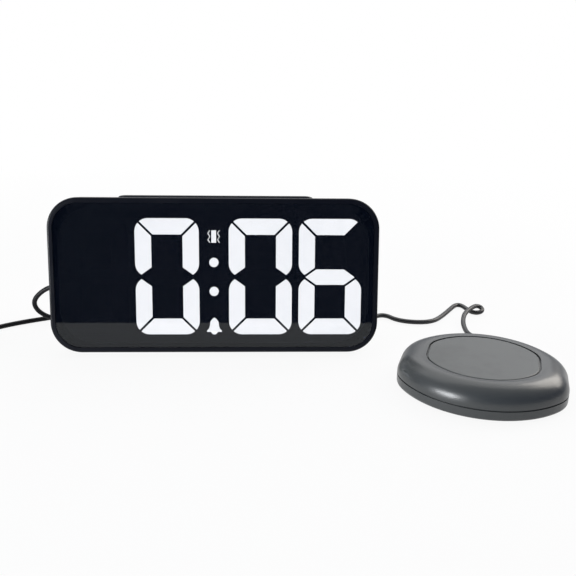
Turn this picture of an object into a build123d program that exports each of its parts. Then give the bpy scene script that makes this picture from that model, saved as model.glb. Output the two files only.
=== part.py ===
from build123d import *
import math
import os

# Bed shaker alarm clock, in millimetres. X runs to the viewer's right, Y to the rear, Z up.
# The origin is the middle of the clock's underside, on the table.
# Clock pieces are modelled in the face's own frame: across, up the face, and depth behind it,
# and are then seated, because the face leans back from the upright.

# Seat of the face
LEAN_DEGREES = 10
FACE_FRONT_Y = -19
FACE_BOTTOM_Z = 2.6
LEAN = math.radians(LEAN_DEGREES)
FACE_OUT = (0, -math.cos(LEAN), math.sin(LEAN))
INWARD = (0, 0, -1)
SEAT = Plane(origin=(0, FACE_FRONT_Y, FACE_BOTTOM_Z), x_dir=(1, 0, 0), z_dir=FACE_OUT).location

# Shared fits
GAP = 0.1
SLIDE_GAP = 0.25
OVERRUN = 1

# Front bezel
FACE_WIDTH = 172
FACE_HEIGHT = 81.3
FACE_CORNER = 16
FACE_MIDDLE = FACE_HEIGHT / 2
BEZEL_DEPTH = 9
RIM_WIDTH = 2.7
RIM_ROUND = 1.1
BEZEL_WALL = 2
LENS_INSET = 0.5
LENS_THICKNESS = 1.5
LEDGE_WIDTH = 2.3
LEDGE_THICKNESS = 1.6
LEDGE_CORNER = 18

# Screw bosses that hold the two halves of the clock together
BOSS_RADIUS = 2.6
BOSS_INSET_ACROSS = 9.5
BOSS_INSET_UP = 10.15
POST_RADIUS = 3.3
BOSS_LENGTH = 9.5
SCREW_RADIUS = 1.1
SCREW_HEAD_RADIUS = 2.2
SCREW_HEAD_HEIGHT = 1.6
SCREW_SHANK = 16
PILOT_RADIUS = 1.15
CLEARANCE_RADIUS = 1.4
HEAD_POCKET_RADIUS = 2.5

# Display
DISPLAY_MIDDLE_X = -0.5
DISPLAY_DROP = 0.55
DIGIT_MARGIN = 9.95
DIGIT_SIDE_MARGIN = 8.3
DIGIT_SPACE = 3.4
COLON_WIDTH = 15.4
STROKE = 8.6
SEGMENT_GAP = 1.05
SEGMENT_ROUND = 7
WAIST_TIP = 2.6
SEGMENT_THICKNESS = 1.2
COLON_RADIUS = 2.5
COLON_RISE_SHARE = 0.1246
VIBRATE_RISE_SHARE = 0.3453
VIBRATE_WIDTH = 2.6
VIBRATE_HEIGHT = 6.6
WAVE_OFFSET = 2.5
WAVE_SWING = 0.55
WAVE_STROKE = 0.6
BELL_DROP_SHARE = 0.4267
BELL_WIDTH = 8.2
BELL_HEIGHT = 9.2
BELL_CLAPPER_SHARE = 0.46
MASK_SETBACK = 0.15
REFLECTOR_FLANGE = 1.4
REFLECTOR_DEPTH = 6.9
REFLECTOR_INSET_UP = 5.65
REFLECTOR_INSET_ACROSS = 6
BOARD_THICKNESS = 1.6
CHIP_LENGTH = 2
CHIP_WIDTH = 1.25
CHIP_THICKNESS = 0.5

LENS_BACK = LENS_INSET + LENS_THICKNESS
LEDGE_BACK = LENS_BACK + LEDGE_THICKNESS
WINDOW_WIDTH = FACE_WIDTH - 2 * RIM_WIDTH
WINDOW_HEIGHT = FACE_HEIGHT - 2 * RIM_WIDTH
WINDOW_CORNER = FACE_CORNER - RIM_WIDTH
MASK_FRONT = LENS_BACK + MASK_SETBACK
BOSS_ACROSS = FACE_WIDTH / 2 - BOSS_INSET_ACROSS
BOSS_UP = FACE_HEIGHT / 2 - BOSS_INSET_UP
BOSS_PLACES = [(x, FACE_MIDDLE + up) for x in (-BOSS_ACROSS, BOSS_ACROSS) for up in (-BOSS_UP, BOSS_UP)]
DISPLAY_MIDDLE_UP = FACE_MIDDLE - DISPLAY_DROP
DIGIT_HEIGHT = FACE_HEIGHT - 2 * DIGIT_MARGIN
DIGIT_WIDTH = (FACE_WIDTH / 2 - DIGIT_SIDE_MARGIN - DIGIT_SPACE - COLON_WIDTH / 2) / 2
DIGIT_PITCH = DIGIT_WIDTH + DIGIT_SPACE
COLON_RISE = COLON_RISE_SHARE * DIGIT_HEIGHT
REFLECTOR_WIDTH = FACE_WIDTH - 2 * REFLECTOR_INSET_ACROSS
REFLECTOR_HEIGHT = FACE_HEIGHT - 2 * REFLECTOR_INSET_UP


def slab(width, height, corner, front, depth, middle=(0, FACE_MIDDLE)):
    """Rounded plate parallel to the face, from one depth behind it to another."""
    outline = RectangleRounded(width, height, corner)
    return extrude(Pos(middle[0], middle[1], -front) * outline, amount=-depth)


def block(width, height, front, depth, middle=(0, FACE_MIDDLE)):
    """Square-cornered plate parallel to the face."""
    return extrude(Pos(middle[0], middle[1], -front) * Rectangle(width, height), amount=-depth)


def rod(radius, front, depth, middle):
    """Round bar square to the face."""
    return extrude(Pos(middle[0], middle[1], -front) * Circle(radius), amount=-depth)


def save(part, name):
    """Write one named piece."""
    export_step(part, os.path.join("parts", name + ".step"))


def front_bezel():
    """Moulded frame with a rounded rim, a ledge behind the window and four screw bosses."""
    frame = slab(FACE_WIDTH, FACE_HEIGHT, FACE_CORNER, 0, BEZEL_DEPTH)
    frame = fillet(frame.faces().sort_by(Axis.Z)[-1].edges(), RIM_ROUND)
    frame -= slab(WINDOW_WIDTH, WINDOW_HEIGHT, WINDOW_CORNER, 0, LENS_BACK)
    opening_width = WINDOW_WIDTH - 2 * LEDGE_WIDTH
    opening_height = WINDOW_HEIGHT - 2 * LEDGE_WIDTH
    frame -= slab(opening_width, opening_height, LEDGE_CORNER, 0, BEZEL_DEPTH)
    hollow = BEZEL_DEPTH - LEDGE_BACK
    frame -= slab(
        FACE_WIDTH - 2 * BEZEL_WALL,
        FACE_HEIGHT - 2 * BEZEL_WALL,
        FACE_CORNER - BEZEL_WALL,
        LEDGE_BACK,
        hollow,
    )
    for place in BOSS_PLACES:
        frame += rod(BOSS_RADIUS, LEDGE_BACK, BOSS_LENGTH, place)
    for place in BOSS_PLACES:
        frame -= rod(PILOT_RADIUS, LEDGE_BACK, BOSS_LENGTH, place)
    return frame


def display_lens():
    """Dark glossy window that drops into the bezel's rim."""
    return slab(
        WINDOW_WIDTH - 2 * GAP,
        WINDOW_HEIGHT - 2 * GAP,
        WINDOW_CORNER - GAP,
        LENS_INSET,
        LENS_THICKNESS,
    )


def half_cell(upper):
    """Rounded outline of the upper or lower half of a digit."""
    middle = DIGIT_HEIGHT / 4 if upper else -DIGIT_HEIGHT / 4
    return Pos(0, middle) * RectangleRounded(DIGIT_WIDTH, DIGIT_HEIGHT / 2, SEGMENT_ROUND)


def segment(name):
    """Outline of one of the seven strokes, a to g, about the digit's middle."""
    half_width = DIGIT_WIDTH / 2
    half_height = DIGIT_HEIGHT / 2
    inner = half_width - STROKE - SEGMENT_GAP / 2
    tip = half_width - WAIST_TIP
    slope = (STROKE / 2) / (STROKE - WAIST_TIP)
    waist = slope * (tip - inner)
    shoulder = half_height - STROKE - SEGMENT_GAP / 2
    if name == "g":
        points = [(-tip, 0), (-inner, waist), (inner, waist), (tip, 0), (inner, -waist), (-inner, -waist)]
        return offset(Polygon(*points, align=None), amount=-SEGMENT_GAP / 2, kind=Kind.INTERSECTION)
    if name in "ad":
        wide = half_width + OVERRUN
        high = half_height + OVERRUN
        points = [(-wide, high), (-inner, shoulder), (inner, shoulder), (wide, high)]
    else:
        wide = half_width + OVERRUN
        high = half_height + OVERRUN
        points = [(wide, high), (inner, shoulder), (inner, waist), (tip, 0), (wide, 0)]
    if name in "ef":
        points = [(-x, y) for x, y in points]
    if name in "cde":
        points = [(x, -y) for x, y in points]
    stroke = offset(Polygon(*points, align=None), amount=-SEGMENT_GAP / 2, kind=Kind.INTERSECTION)
    return stroke & half_cell(upper=name in "abf")


def vibrate_outline():
    """A small upright bar with a wavy line at each side."""
    shape = Rectangle(VIBRATE_WIDTH, VIBRATE_HEIGHT)
    quarter = VIBRATE_HEIGHT / 4
    for side in (-1, 1):
        middles = [(side * WAVE_OFFSET + (-1) ** k * WAVE_SWING, (k - 2) * quarter) for k in range(5)]
        left = [(x - WAVE_STROKE / 2, y) for x, y in middles]
        right = [(x + WAVE_STROKE / 2, y) for x, y in reversed(middles)]
        shape += Polygon(*left, *right, align=None)
    return shape


def bell_outline():
    """A plain bell: a flared body with a clapper below it."""
    half_width = BELL_WIDTH / 2
    half_height = BELL_HEIGHT / 2
    crown_shares = [(0, 1), (0.22, 0.88), (0.53, 0.54), (0.6, 0.05), (0.68, -0.25), (1, -0.6), (0.94, -0.7), (0.46, -0.7)]
    right = [(x * half_width, y * half_height) for x, y in crown_shares]
    left = [(-x, y) for x, y in reversed(right[1:])]
    clapper_radius = BELL_CLAPPER_SHARE * half_width
    body = Polygon(*right, *left, align=None)
    return body + Pos(0, clapper_radius - half_height) * Circle(clapper_radius)


def colon_outline():
    """The two dots between hours and minutes."""
    return [Pos(0, rise) * Circle(COLON_RADIUS) for rise in (-COLON_RISE, COLON_RISE)]


def digit_middle(place):
    """Middle of a digit place, counted from 0 at the left."""
    outward = COLON_WIDTH / 2 + DIGIT_WIDTH / 2
    across = {0: -outward - DIGIT_PITCH, 1: -outward, 2: outward, 3: outward + DIGIT_PITCH}[place]
    return (DISPLAY_MIDDLE_X + across, DISPLAY_MIDDLE_UP)


def strokes_of(place, names):
    """Seated outlines of the named strokes of one digit place."""
    x, up = digit_middle(place)
    return [Pos(x, up) * segment(name) for name in names]


def icons_at(outlines, rise):
    """Outlines set on the middle line between hours and minutes."""
    return [Pos(DISPLAY_MIDDLE_X, DISPLAY_MIDDLE_UP + rise) * outline for outline in outlines]


LIT = {
    "hour_tens_digit": strokes_of(0, "abcdefg"),
    "hour_ones_digit": strokes_of(1, "abcdef"),
    "minute_tens_digit": strokes_of(2, "abcdef"),
    "minute_ones_digit": strokes_of(3, "acdefg"),
    "unlit_segments": strokes_of(1, "g") + strokes_of(2, "g") + strokes_of(3, "b"),
    "colon_dots": icons_at(colon_outline(), 0),
    "vibrate_icon": icons_at([vibrate_outline()], VIBRATE_RISE_SHARE * DIGIT_HEIGHT),
    "bell_icon": icons_at([bell_outline()], -BELL_DROP_SHARE * DIGIT_HEIGHT),
}


def diffuser(outlines):
    """Thin light-spreading tiles, flush with the mask."""
    tiles = []
    for outline in outlines:
        tile = offset(outline, amount=-GAP, kind=Kind.INTERSECTION)
        tiles += extrude(Pos(0, 0, -MASK_FRONT) * tile, amount=SEGMENT_THICKNESS, dir=INWARD).solids()
    return Compound(children=tiles)


def reflector():
    """Opaque block with a light well behind every stroke, notched round the screw bosses."""
    pad_width = WINDOW_WIDTH - 2 * (LEDGE_WIDTH + SLIDE_GAP)
    pad_height = WINDOW_HEIGHT - 2 * (LEDGE_WIDTH + SLIDE_GAP)
    flange_front = LEDGE_BACK + GAP
    pad_depth = flange_front - MASK_FRONT
    body = slab(pad_width, pad_height, LEDGE_CORNER - SLIDE_GAP, MASK_FRONT, pad_depth)
    flange_inset = BEZEL_WALL + SLIDE_GAP
    body += slab(
        FACE_WIDTH - 2 * flange_inset,
        FACE_HEIGHT - 2 * flange_inset,
        FACE_CORNER - flange_inset,
        flange_front,
        REFLECTOR_FLANGE,
    )
    body += slab(REFLECTOR_WIDTH, REFLECTOR_HEIGHT, LEDGE_CORNER, MASK_FRONT, REFLECTOR_DEPTH)
    for place in BOSS_PLACES:
        body -= rod(BOSS_RADIUS + SLIDE_GAP, MASK_FRONT, REFLECTOR_DEPTH, place)
    for outlines in LIT.values():
        for outline in outlines:
            body -= extrude(Pos(0, 0, -MASK_FRONT) * outline, amount=REFLECTOR_DEPTH, dir=INWARD)
    return body


# Boards
DISPLAY_BOARD_FRONT = MASK_FRONT + REFLECTOR_DEPTH + GAP
DISPLAY_BOARD_WIDTH = REFLECTOR_WIDTH
DISPLAY_BOARD_HEIGHT = REFLECTOR_HEIGHT
DISPLAY_BOARD_CORNER = 8
MAIN_BOARD_FRONT = 24
MAIN_BOARD_INSET = 13
MAIN_BOARD_WIDTH = FACE_WIDTH - 2 * MAIN_BOARD_INSET
MAIN_BOARD_BOTTOM = 12
MAIN_BOARD_DROP = 18.8
MAIN_BOARD_TOP = FACE_HEIGHT - MAIN_BOARD_DROP
MAIN_BOARD_BACK = MAIN_BOARD_FRONT + BOARD_THICKNESS

# Rear housing
HOUSING_BACK = 35
HOUSING_WALL = 2
HOUSING_FRONT_INSET = 1
HOUSING_TAPER = 7
HOUSING_BACK_WIDTH = FACE_WIDTH - 2 * HOUSING_TAPER
HOUSING_BACK_BOTTOM = 1.5
HOUSING_TOP_FALL = 7.8
HOUSING_BACK_TOP = FACE_HEIGHT - HOUSING_TOP_FALL
HOUSING_BACK_CORNER = 13
HOUSING_BACK_ROUND = 3.5
HOUSING_BASE_Z = 1.6
SPIGOT_DEPTH = 1.5
SPIGOT_WALL = 1
HOUSING_INSIDE = HOUSING_BACK - HOUSING_WALL
HOUSING_BACK_HEIGHT = HOUSING_BACK_TOP - HOUSING_BACK_BOTTOM
HOUSING_BACK_MIDDLE = (HOUSING_BACK_TOP + HOUSING_BACK_BOTTOM) / 2
HOUSING_DEPTH = HOUSING_BACK - BEZEL_DEPTH
POST_FRONT = LEDGE_BACK + BOSS_LENGTH + GAP
POST_WEB = 2
STANDOFF_INSET = 4.5
STANDOFF_ACROSS = MAIN_BOARD_WIDTH / 2 - STANDOFF_INSET
STANDOFF_LOW = MAIN_BOARD_BOTTOM + STANDOFF_INSET
STANDOFF_DROP = 9.5
STANDOFF_HIGH = MAIN_BOARD_TOP - STANDOFF_DROP
STANDOFF_RADIUS = 2.2
STANDOFF_PIN_RADIUS = 1
STANDOFF_PIN_END = 0.8

# Rear push buttons, their stems and the switches on the main board
BUTTON_NAMES = ["time_button", "alarm_one_button", "alarm_two_button", "plus_button", "minus_button"]
BUTTON_PITCH = 14
BUTTON_DROP = 4.5
BUTTON_UP = MAIN_BOARD_TOP - BUTTON_DROP
BUTTON_WIDTH = 9
BUTTON_HEIGHT = 5.5
BUTTON_CORNER = 2
BUTTON_PROUD = 1.2
BUTTON_TRAVEL = 0.5
BUTTON_FLANGE = 1
BUTTON_FLANGE_THICKNESS = 0.8
SWITCH_SIZE = 6
SWITCH_HEIGHT = 3.4
STEM_RADIUS = 1.5
WELL_DEPTH = 0.9

# Alarm mode slide switch
MODE_ACROSS = -50
MODE_STEP = 3
MODE_CAP_WIDTH = 7
MODE_CAP_HEIGHT = 4.4
MODE_CAP_THICKNESS = 1.4
MODE_RIBS = 3
MODE_RIB = 0.5
MODE_STEM_WIDTH = 2.4
MODE_STEM_HEIGHT = 2.4
MODE_BODY_WIDTH = 13
MODE_BODY_HEIGHT = 6
MODE_BODY_DEPTH = 5
MODE_GROOVE_DEPTH = 2

# Dimmer thumb wheel, with its rim through a slot in the back
DIMMER_ACROSS = 58
DIMMER_UP = MAIN_BOARD_TOP
DIMMER_RADIUS = 6.5
DIMMER_THICKNESS = 3
DIMMER_PROUD = 1.5
DIMMER_TEETH = 20
DIMMER_TOOTH_DEPTH = 0.5
DIMMER_SPINDLE_RADIUS = 1.5
DIMMER_SPINDLE_GAP = 0.06
POT_WIDTH = 9
POT_HEIGHT = 3.6

# Speaker and its grille
SPEAKER_ACROSS = 50
SPEAKER_DROP = 28.5
SPEAKER_UP = MAIN_BOARD_TOP - SPEAKER_DROP
SPEAKER_RADIUS = 14
SPEAKER_RIM = 1.6
SPEAKER_CONE_DEPTH = 4
MAGNET_RADIUS = 7
MAGNET_DEPTH = 3
GRILLE_SLOTS = 7
GRILLE_SLOT_WIDTH = 1.4
GRILLE_PITCH = 2.9
GRILLE_REACH = 10.5
SPEAKER_RING_WALL = 1.2
SPEAKER_RING_HEIGHT = 3

# Backup cell, its bay, clip, door and door screw
CELL_ACROSS = -28.5
CELL_DROP = 21.4
CELL_UP = BUTTON_UP - CELL_DROP
CELL_RADIUS = 10
CELL_THICKNESS = 3.2
BAY_WIDTH = 27
BAY_HEIGHT = 23
BAY_WALL = 1.5
BAY_FLOOR_DEPTH = 29.4
DOOR_WIDTH = 38
DOOR_SHIFT = 3.5
DOOR_HEIGHT = 27
DOOR_THICKNESS = 1.5
DOOR_CORNER = 2
DOOR_SCREW_SHIFT = 18
DOOR_SCREW_RADIUS = 0.9
DOOR_SCREW_LENGTH = 4.5
DOOR_HEAD_RADIUS = 1.8
DOOR_HEAD_HEIGHT = 0.9
CLIP_THICKNESS = 0.3
CLIP_WIDTH = 20
CLIP_HEIGHT = 8

# Power jack, shaker jack and USB charging socket
POWER_JACK_ACROSS = -58
POWER_JACK_UP = 30
POWER_JACK_WIDTH = 9
POWER_JACK_HEIGHT = 11
POWER_NOSE_RADIUS = 4
POWER_BORE_RADIUS = 2.85
POWER_PIN_RADIUS = 1
SHAKER_JACK_ACROSS = 28
SHAKER_JACK_UP = 17
SHAKER_JACK_WIDTH = 7
SHAKER_JACK_HEIGHT = 7
SHAKER_NOSE_RADIUS = 3
SHAKER_BORE_RADIUS = 1.8
JACK_BORE_DEPTH = 9
USB_ACROSS = 0
USB_UP = 15.5
USB_WIDTH = 13.1
USB_HEIGHT = 5.7
USB_DEPTH = 13
USB_SHELL = 0.4
USB_TONGUE_WIDTH = 11
USB_TONGUE_THICKNESS = 1.8
USB_TONGUE_DEPTH = 8.5

# Snooze bar on the sloping top
SNOOZE_LENGTH = 104
SNOOZE_FRONT = 11
SNOOZE_BACK = 26
SNOOZE_RISE = 1.2
SNOOZE_TOP = FACE_HEIGHT + SNOOZE_RISE
SNOOZE_THICKNESS = 1.7
SNOOZE_CORNER = 5
SNOOZE_EDGE_ROUND = 0.6
SNOOZE_TRAVEL = 0.9
SNOOZE_LEG_ACROSS = 35
SNOOZE_LEG_WIDTH = 7
SNOOZE_LEG_DEPTH = 4
SNOOZE_LEG_MIDDLE = 18
SNOOZE_BOARD_DROP = 15.3
SNOOZE_BOARD_TOP = FACE_HEIGHT - SNOOZE_BOARD_DROP
SNOOZE_BOARD_LENGTH = 84
SNOOZE_BOARD_DEPTH = 12
SNOOZE_SHELF = 1.5
TOP_SLOPE = (FACE_HEIGHT - HOUSING_FRONT_INSET - HOUSING_BACK_TOP) / HOUSING_DEPTH
TOP_SLOPE_DEGREES = math.degrees(math.atan(TOP_SLOPE))

# Non-slip mat
MAT_LENGTH = 130
MAT_DEPTH = 19
MAT_MIDDLE_Y = 4
MAT_CORNER = 3

BUTTON_PLACES = [(BUTTON_PITCH * (k - (len(BUTTON_NAMES) - 1) / 2), BUTTON_UP) for k in range(len(BUTTON_NAMES))]
DIMMER_MIDDLE = HOUSING_BACK + DIMMER_PROUD - DIMMER_RADIUS
SWITCH_BACK = MAIN_BOARD_BACK + SWITCH_HEIGHT
DOOR_MIDDLE = (CELL_ACROSS + DOOR_SHIFT, CELL_UP)
DOOR_SCREW_PLACE = (CELL_ACROSS + DOOR_SCREW_SHIFT, CELL_UP)
POWER_JACK_PLACE = (POWER_JACK_ACROSS, POWER_JACK_UP)
SHAKER_JACK_PLACE = (SHAKER_JACK_ACROSS, SHAKER_JACK_UP)


def below(level):
    """Everything under a level in the table's own frame."""
    size = 4 * FACE_WIDTH
    return Pos(0, 0, level - size / 2) * Box(size, size, size)


def housing_loft(inset, front, back):
    """Tapering body between two rounded outlines."""
    width = FACE_WIDTH - 2 * (HOUSING_FRONT_INSET + inset)
    height = FACE_HEIGHT - 2 * (HOUSING_FRONT_INSET + inset)
    first = Pos(0, FACE_MIDDLE, -front) * RectangleRounded(
        width, height, FACE_CORNER - HOUSING_FRONT_INSET - inset
    )
    last = Pos(0, HOUSING_BACK_MIDDLE, -back) * RectangleRounded(
        HOUSING_BACK_WIDTH - 2 * inset, HOUSING_BACK_HEIGHT - 2 * inset, HOUSING_BACK_CORNER - inset
    )
    return loft([first.face(), last.face()], ruled=True)


def grille_slots():
    """Upright slots in front of the speaker, the middle ones longest."""
    slots = []
    for k in range(GRILLE_SLOTS):
        across = (k - (GRILLE_SLOTS - 1) / 2) * GRILLE_PITCH
        height = 2 * math.sqrt(GRILLE_REACH**2 - across**2)
        place = (SPEAKER_ACROSS + across, SPEAKER_UP)
        slots.append(block(GRILLE_SLOT_WIDTH, height, HOUSING_INSIDE - OVERRUN, HOUSING_WALL + 2 * OVERRUN, place))
    return slots


def housing_posts():
    """Screw posts, board stand-offs, speaker ring, cell bay and snooze shelves inside the housing."""
    parts = []
    for place in BOSS_PLACES:
        parts.append(rod(POST_RADIUS, POST_FRONT, HOUSING_BACK - POST_FRONT, place))
    for x in (-STANDOFF_ACROSS, STANDOFF_ACROSS):
        for up in (STANDOFF_LOW, STANDOFF_HIGH):
            parts.append(rod(STANDOFF_RADIUS, MAIN_BOARD_BACK, HOUSING_INSIDE - MAIN_BOARD_BACK, (x, up)))
            pin_front = MAIN_BOARD_FRONT - STANDOFF_PIN_END
            parts.append(rod(STANDOFF_PIN_RADIUS, pin_front, HOUSING_INSIDE - pin_front, (x, up)))
    ring_front = HOUSING_INSIDE - SPEAKER_RING_HEIGHT
    ring = rod(SPEAKER_RADIUS + SLIDE_GAP + SPEAKER_RING_WALL, ring_front, SPEAKER_RING_HEIGHT, (SPEAKER_ACROSS, SPEAKER_UP))
    ring -= rod(SPEAKER_RADIUS + SLIDE_GAP, ring_front, SPEAKER_RING_HEIGHT, (SPEAKER_ACROSS, SPEAKER_UP))
    parts.append(ring)
    bay_front = BAY_FLOOR_DEPTH - BAY_WALL
    bay = (DOOR_WIDTH + 2 * BAY_WALL, DOOR_HEIGHT + 2 * BAY_WALL)
    parts.append(block(*bay, bay_front, HOUSING_BACK - bay_front, DOOR_MIDDLE))
    return parts


def snooze_shelves():
    """Two ledges from the back wall that carry the snooze board."""
    board_bottom = SNOOZE_BOARD_TOP - BOARD_THICKNESS
    front = SNOOZE_LEG_MIDDLE - SNOOZE_BOARD_DEPTH / 2
    shelves = []
    for x in (-SNOOZE_LEG_ACROSS, SNOOZE_LEG_ACROSS):
        middle = (x, board_bottom - SNOOZE_SHELF / 2)
        shelves.append(block(SNOOZE_LEG_WIDTH, SNOOZE_SHELF, front, HOUSING_BACK - HOUSING_WALL - front, middle))
    return shelves


def rear_housing():
    """Tapering back shell with everything moulded into it, in the table's frame."""
    shell = housing_loft(0, BEZEL_DEPTH + GAP, HOUSING_BACK)
    shell = fillet(shell.faces().sort_by(Axis.Z)[0].edges(), HOUSING_BACK_ROUND)
    outside = SEAT * shell - below(HOUSING_BASE_Z)
    inside = SEAT * housing_loft(HOUSING_WALL, BEZEL_DEPTH, HOUSING_INSIDE)
    inside -= below(HOUSING_BASE_Z + HOUSING_WALL)
    fittings = Part() + housing_posts() + snooze_shelves()
    body = outside - inside + (SEAT * fittings & outside)
    cuts = []
    for place in BOSS_PLACES:
        cuts.append(rod(CLEARANCE_RADIUS, POST_FRONT - OVERRUN, POST_WEB + 2 * OVERRUN, place))
        cuts.append(rod(HEAD_POCKET_RADIUS, POST_FRONT + POST_WEB, HOUSING_BACK, place))
    cuts += grille_slots()
    back = HOUSING_INSIDE - OVERRUN
    through = HOUSING_WALL + 2 * OVERRUN
    for place in BUTTON_PLACES:
        size = (BUTTON_WIDTH + 2 * SLIDE_GAP, BUTTON_HEIGHT + 2 * SLIDE_GAP, BUTTON_CORNER)
        cuts.append(slab(*size, back, through, place))
    slot = MODE_STEM_WIDTH + 2 * (MODE_STEP + SLIDE_GAP)
    cuts.append(block(slot, MODE_STEM_HEIGHT + 2 * SLIDE_GAP, back, through, (MODE_ACROSS, BUTTON_UP)))
    dimmer_slot = (2 * (DIMMER_RADIUS + SLIDE_GAP), DIMMER_THICKNESS + 2 * SLIDE_GAP)
    cuts.append(block(*dimmer_slot, back, through, (DIMMER_ACROSS, DIMMER_UP)))
    cuts.append(rod(POWER_NOSE_RADIUS + GAP, back, through, POWER_JACK_PLACE))
    cuts.append(rod(SHAKER_NOSE_RADIUS + GAP, back, through, SHAKER_JACK_PLACE))
    cuts.append(block(USB_WIDTH + 2 * GAP, USB_HEIGHT + 2 * GAP, back, through, (USB_ACROSS, USB_UP)))
    cell = (CELL_ACROSS, CELL_UP)
    bay = (BAY_WIDTH, BAY_HEIGHT, BAY_FLOOR_DEPTH, HOUSING_BACK, cell)
    cuts.append(block(*bay))
    door_front = HOUSING_BACK - DOOR_THICKNESS - GAP
    cuts.append(slab(DOOR_WIDTH + 2 * GAP, DOOR_HEIGHT + 2 * GAP, DOOR_CORNER, door_front, HOUSING_BACK, DOOR_MIDDLE))
    pilot = DOOR_SCREW_RADIUS + GAP
    cuts.append(rod(pilot, HOUSING_BACK - DOOR_SCREW_LENGTH - OVERRUN, HOUSING_BACK, DOOR_SCREW_PLACE))
    for x in (-SNOOZE_LEG_ACROSS, SNOOZE_LEG_ACROSS):
        leg = (SNOOZE_LEG_WIDTH + 2 * SLIDE_GAP, FACE_HEIGHT, SNOOZE_LEG_MIDDLE - SNOOZE_LEG_DEPTH / 2 - SLIDE_GAP)
        leg_middle = (x, SNOOZE_BOARD_TOP + FACE_HEIGHT / 2 + OVERRUN)
        cuts.append(block(*leg, SNOOZE_LEG_DEPTH + 2 * SLIDE_GAP, leg_middle))
    for cut in cuts:
        body -= SEAT * cut
    return body


def non_slip_mat():
    """Thin rubber mat under the clock's flat base."""
    outline = Pos(0, MAT_MIDDLE_Y) * RectangleRounded(MAT_LENGTH, MAT_DEPTH, MAT_CORNER)
    return extrude(outline, amount=HOUSING_BASE_Z)


def housing_screws():
    """Four pan-head screws up the housing posts into the bezel's bosses."""
    screws = []
    for place in BOSS_PLACES:
        seat = POST_FRONT + POST_WEB
        screw = rod(SCREW_HEAD_RADIUS, seat, SCREW_HEAD_HEIGHT, place)
        screw += rod(SCREW_RADIUS, seat - BOSS_LENGTH + OVERRUN, BOSS_LENGTH - OVERRUN, place)
        screws.append(screw.solid())
    return Compound(children=screws)


def display_board():
    """Circuit board behind the light wells."""
    size = (DISPLAY_BOARD_WIDTH, DISPLAY_BOARD_HEIGHT, DISPLAY_BOARD_CORNER)
    board = slab(*size, DISPLAY_BOARD_FRONT, BOARD_THICKNESS)
    for place in BOSS_PLACES:
        board -= rod(BOSS_RADIUS + SLIDE_GAP, DISPLAY_BOARD_FRONT, BOARD_THICKNESS, place)
    return board


def led_chips():
    """One small LED behind every stroke, dot and icon."""
    front = DISPLAY_BOARD_FRONT - CHIP_THICKNESS
    chips = []
    for outlines in LIT.values():
        for outline in outlines:
            middle = outline.center(CenterOf.BOUNDING_BOX)
            chips.append(block(CHIP_WIDTH, CHIP_LENGTH, front, CHIP_THICKNESS, (middle.X, middle.Y)).solid())
    return Compound(children=chips)


def main_board():
    """Upright board that carries the switches and sockets, cut away round the speaker and dimmer."""
    height = MAIN_BOARD_TOP - MAIN_BOARD_BOTTOM
    middle = (0, (MAIN_BOARD_TOP + MAIN_BOARD_BOTTOM) / 2)
    board = slab(MAIN_BOARD_WIDTH, height, RIM_WIDTH, MAIN_BOARD_FRONT, BOARD_THICKNESS, middle)
    board -= rod(SPEAKER_RADIUS + OVERRUN, MAIN_BOARD_FRONT, BOARD_THICKNESS, (SPEAKER_ACROSS, SPEAKER_UP))
    notch_bottom = DIMMER_UP - DIMMER_THICKNESS / 2 - GAP - POT_HEIGHT - GAP
    notch = (2 * DIMMER_RADIUS + 2 * OVERRUN, MAIN_BOARD_TOP - notch_bottom)
    notch_middle = (DIMMER_ACROSS, notch_bottom + notch[1] / 2)
    board -= block(*notch, MAIN_BOARD_FRONT, BOARD_THICKNESS, notch_middle)
    usb_top = USB_UP + USB_HEIGHT / 2 + GAP
    usb_notch = (USB_WIDTH + 2 * GAP, 2 * (usb_top - MAIN_BOARD_BOTTOM))
    board -= block(*usb_notch, MAIN_BOARD_FRONT, BOARD_THICKNESS, (USB_ACROSS, MAIN_BOARD_BOTTOM))
    for x in (-STANDOFF_ACROSS, STANDOFF_ACROSS):
        for up in (STANDOFF_LOW, STANDOFF_HIGH):
            board -= rod(STANDOFF_PIN_RADIUS + GAP, MAIN_BOARD_FRONT, BOARD_THICKNESS, (x, up))
    return board


def rear_button(place):
    """Key cap with a flange inside the wall and a stem that enters its switch."""
    cap_back = HOUSING_BACK + BUTTON_PROUD
    cap = slab(BUTTON_WIDTH, BUTTON_HEIGHT, BUTTON_CORNER, HOUSING_INSIDE, cap_back - HOUSING_INSIDE, place)
    flange_front = HOUSING_INSIDE - GAP - BUTTON_FLANGE_THICKNESS
    flange = (BUTTON_WIDTH + 2 * BUTTON_FLANGE, BUTTON_HEIGHT + 2 * BUTTON_FLANGE)
    cap += block(*flange, flange_front, BUTTON_FLANGE_THICKNESS, place)
    cap += block(BUTTON_HEIGHT, BUTTON_HEIGHT - 2 * SLIDE_GAP, flange_front, HOUSING_INSIDE - flange_front, place)
    stem_front = SWITCH_BACK - SLIDE_GAP
    return cap + rod(STEM_RADIUS, stem_front, flange_front - stem_front, place)


def rear_switches():
    """Square switch bodies on the main board, each open for its button's stem."""
    bodies = []
    for place in BUTTON_PLACES:
        switch = block(SWITCH_SIZE, SWITCH_SIZE, MAIN_BOARD_BACK, SWITCH_HEIGHT, place)
        switch -= rod(STEM_RADIUS + SLIDE_GAP, SWITCH_BACK - WELL_DEPTH, WELL_DEPTH, place)
        bodies.append(switch.solid())
    return Compound(children=bodies)


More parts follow.
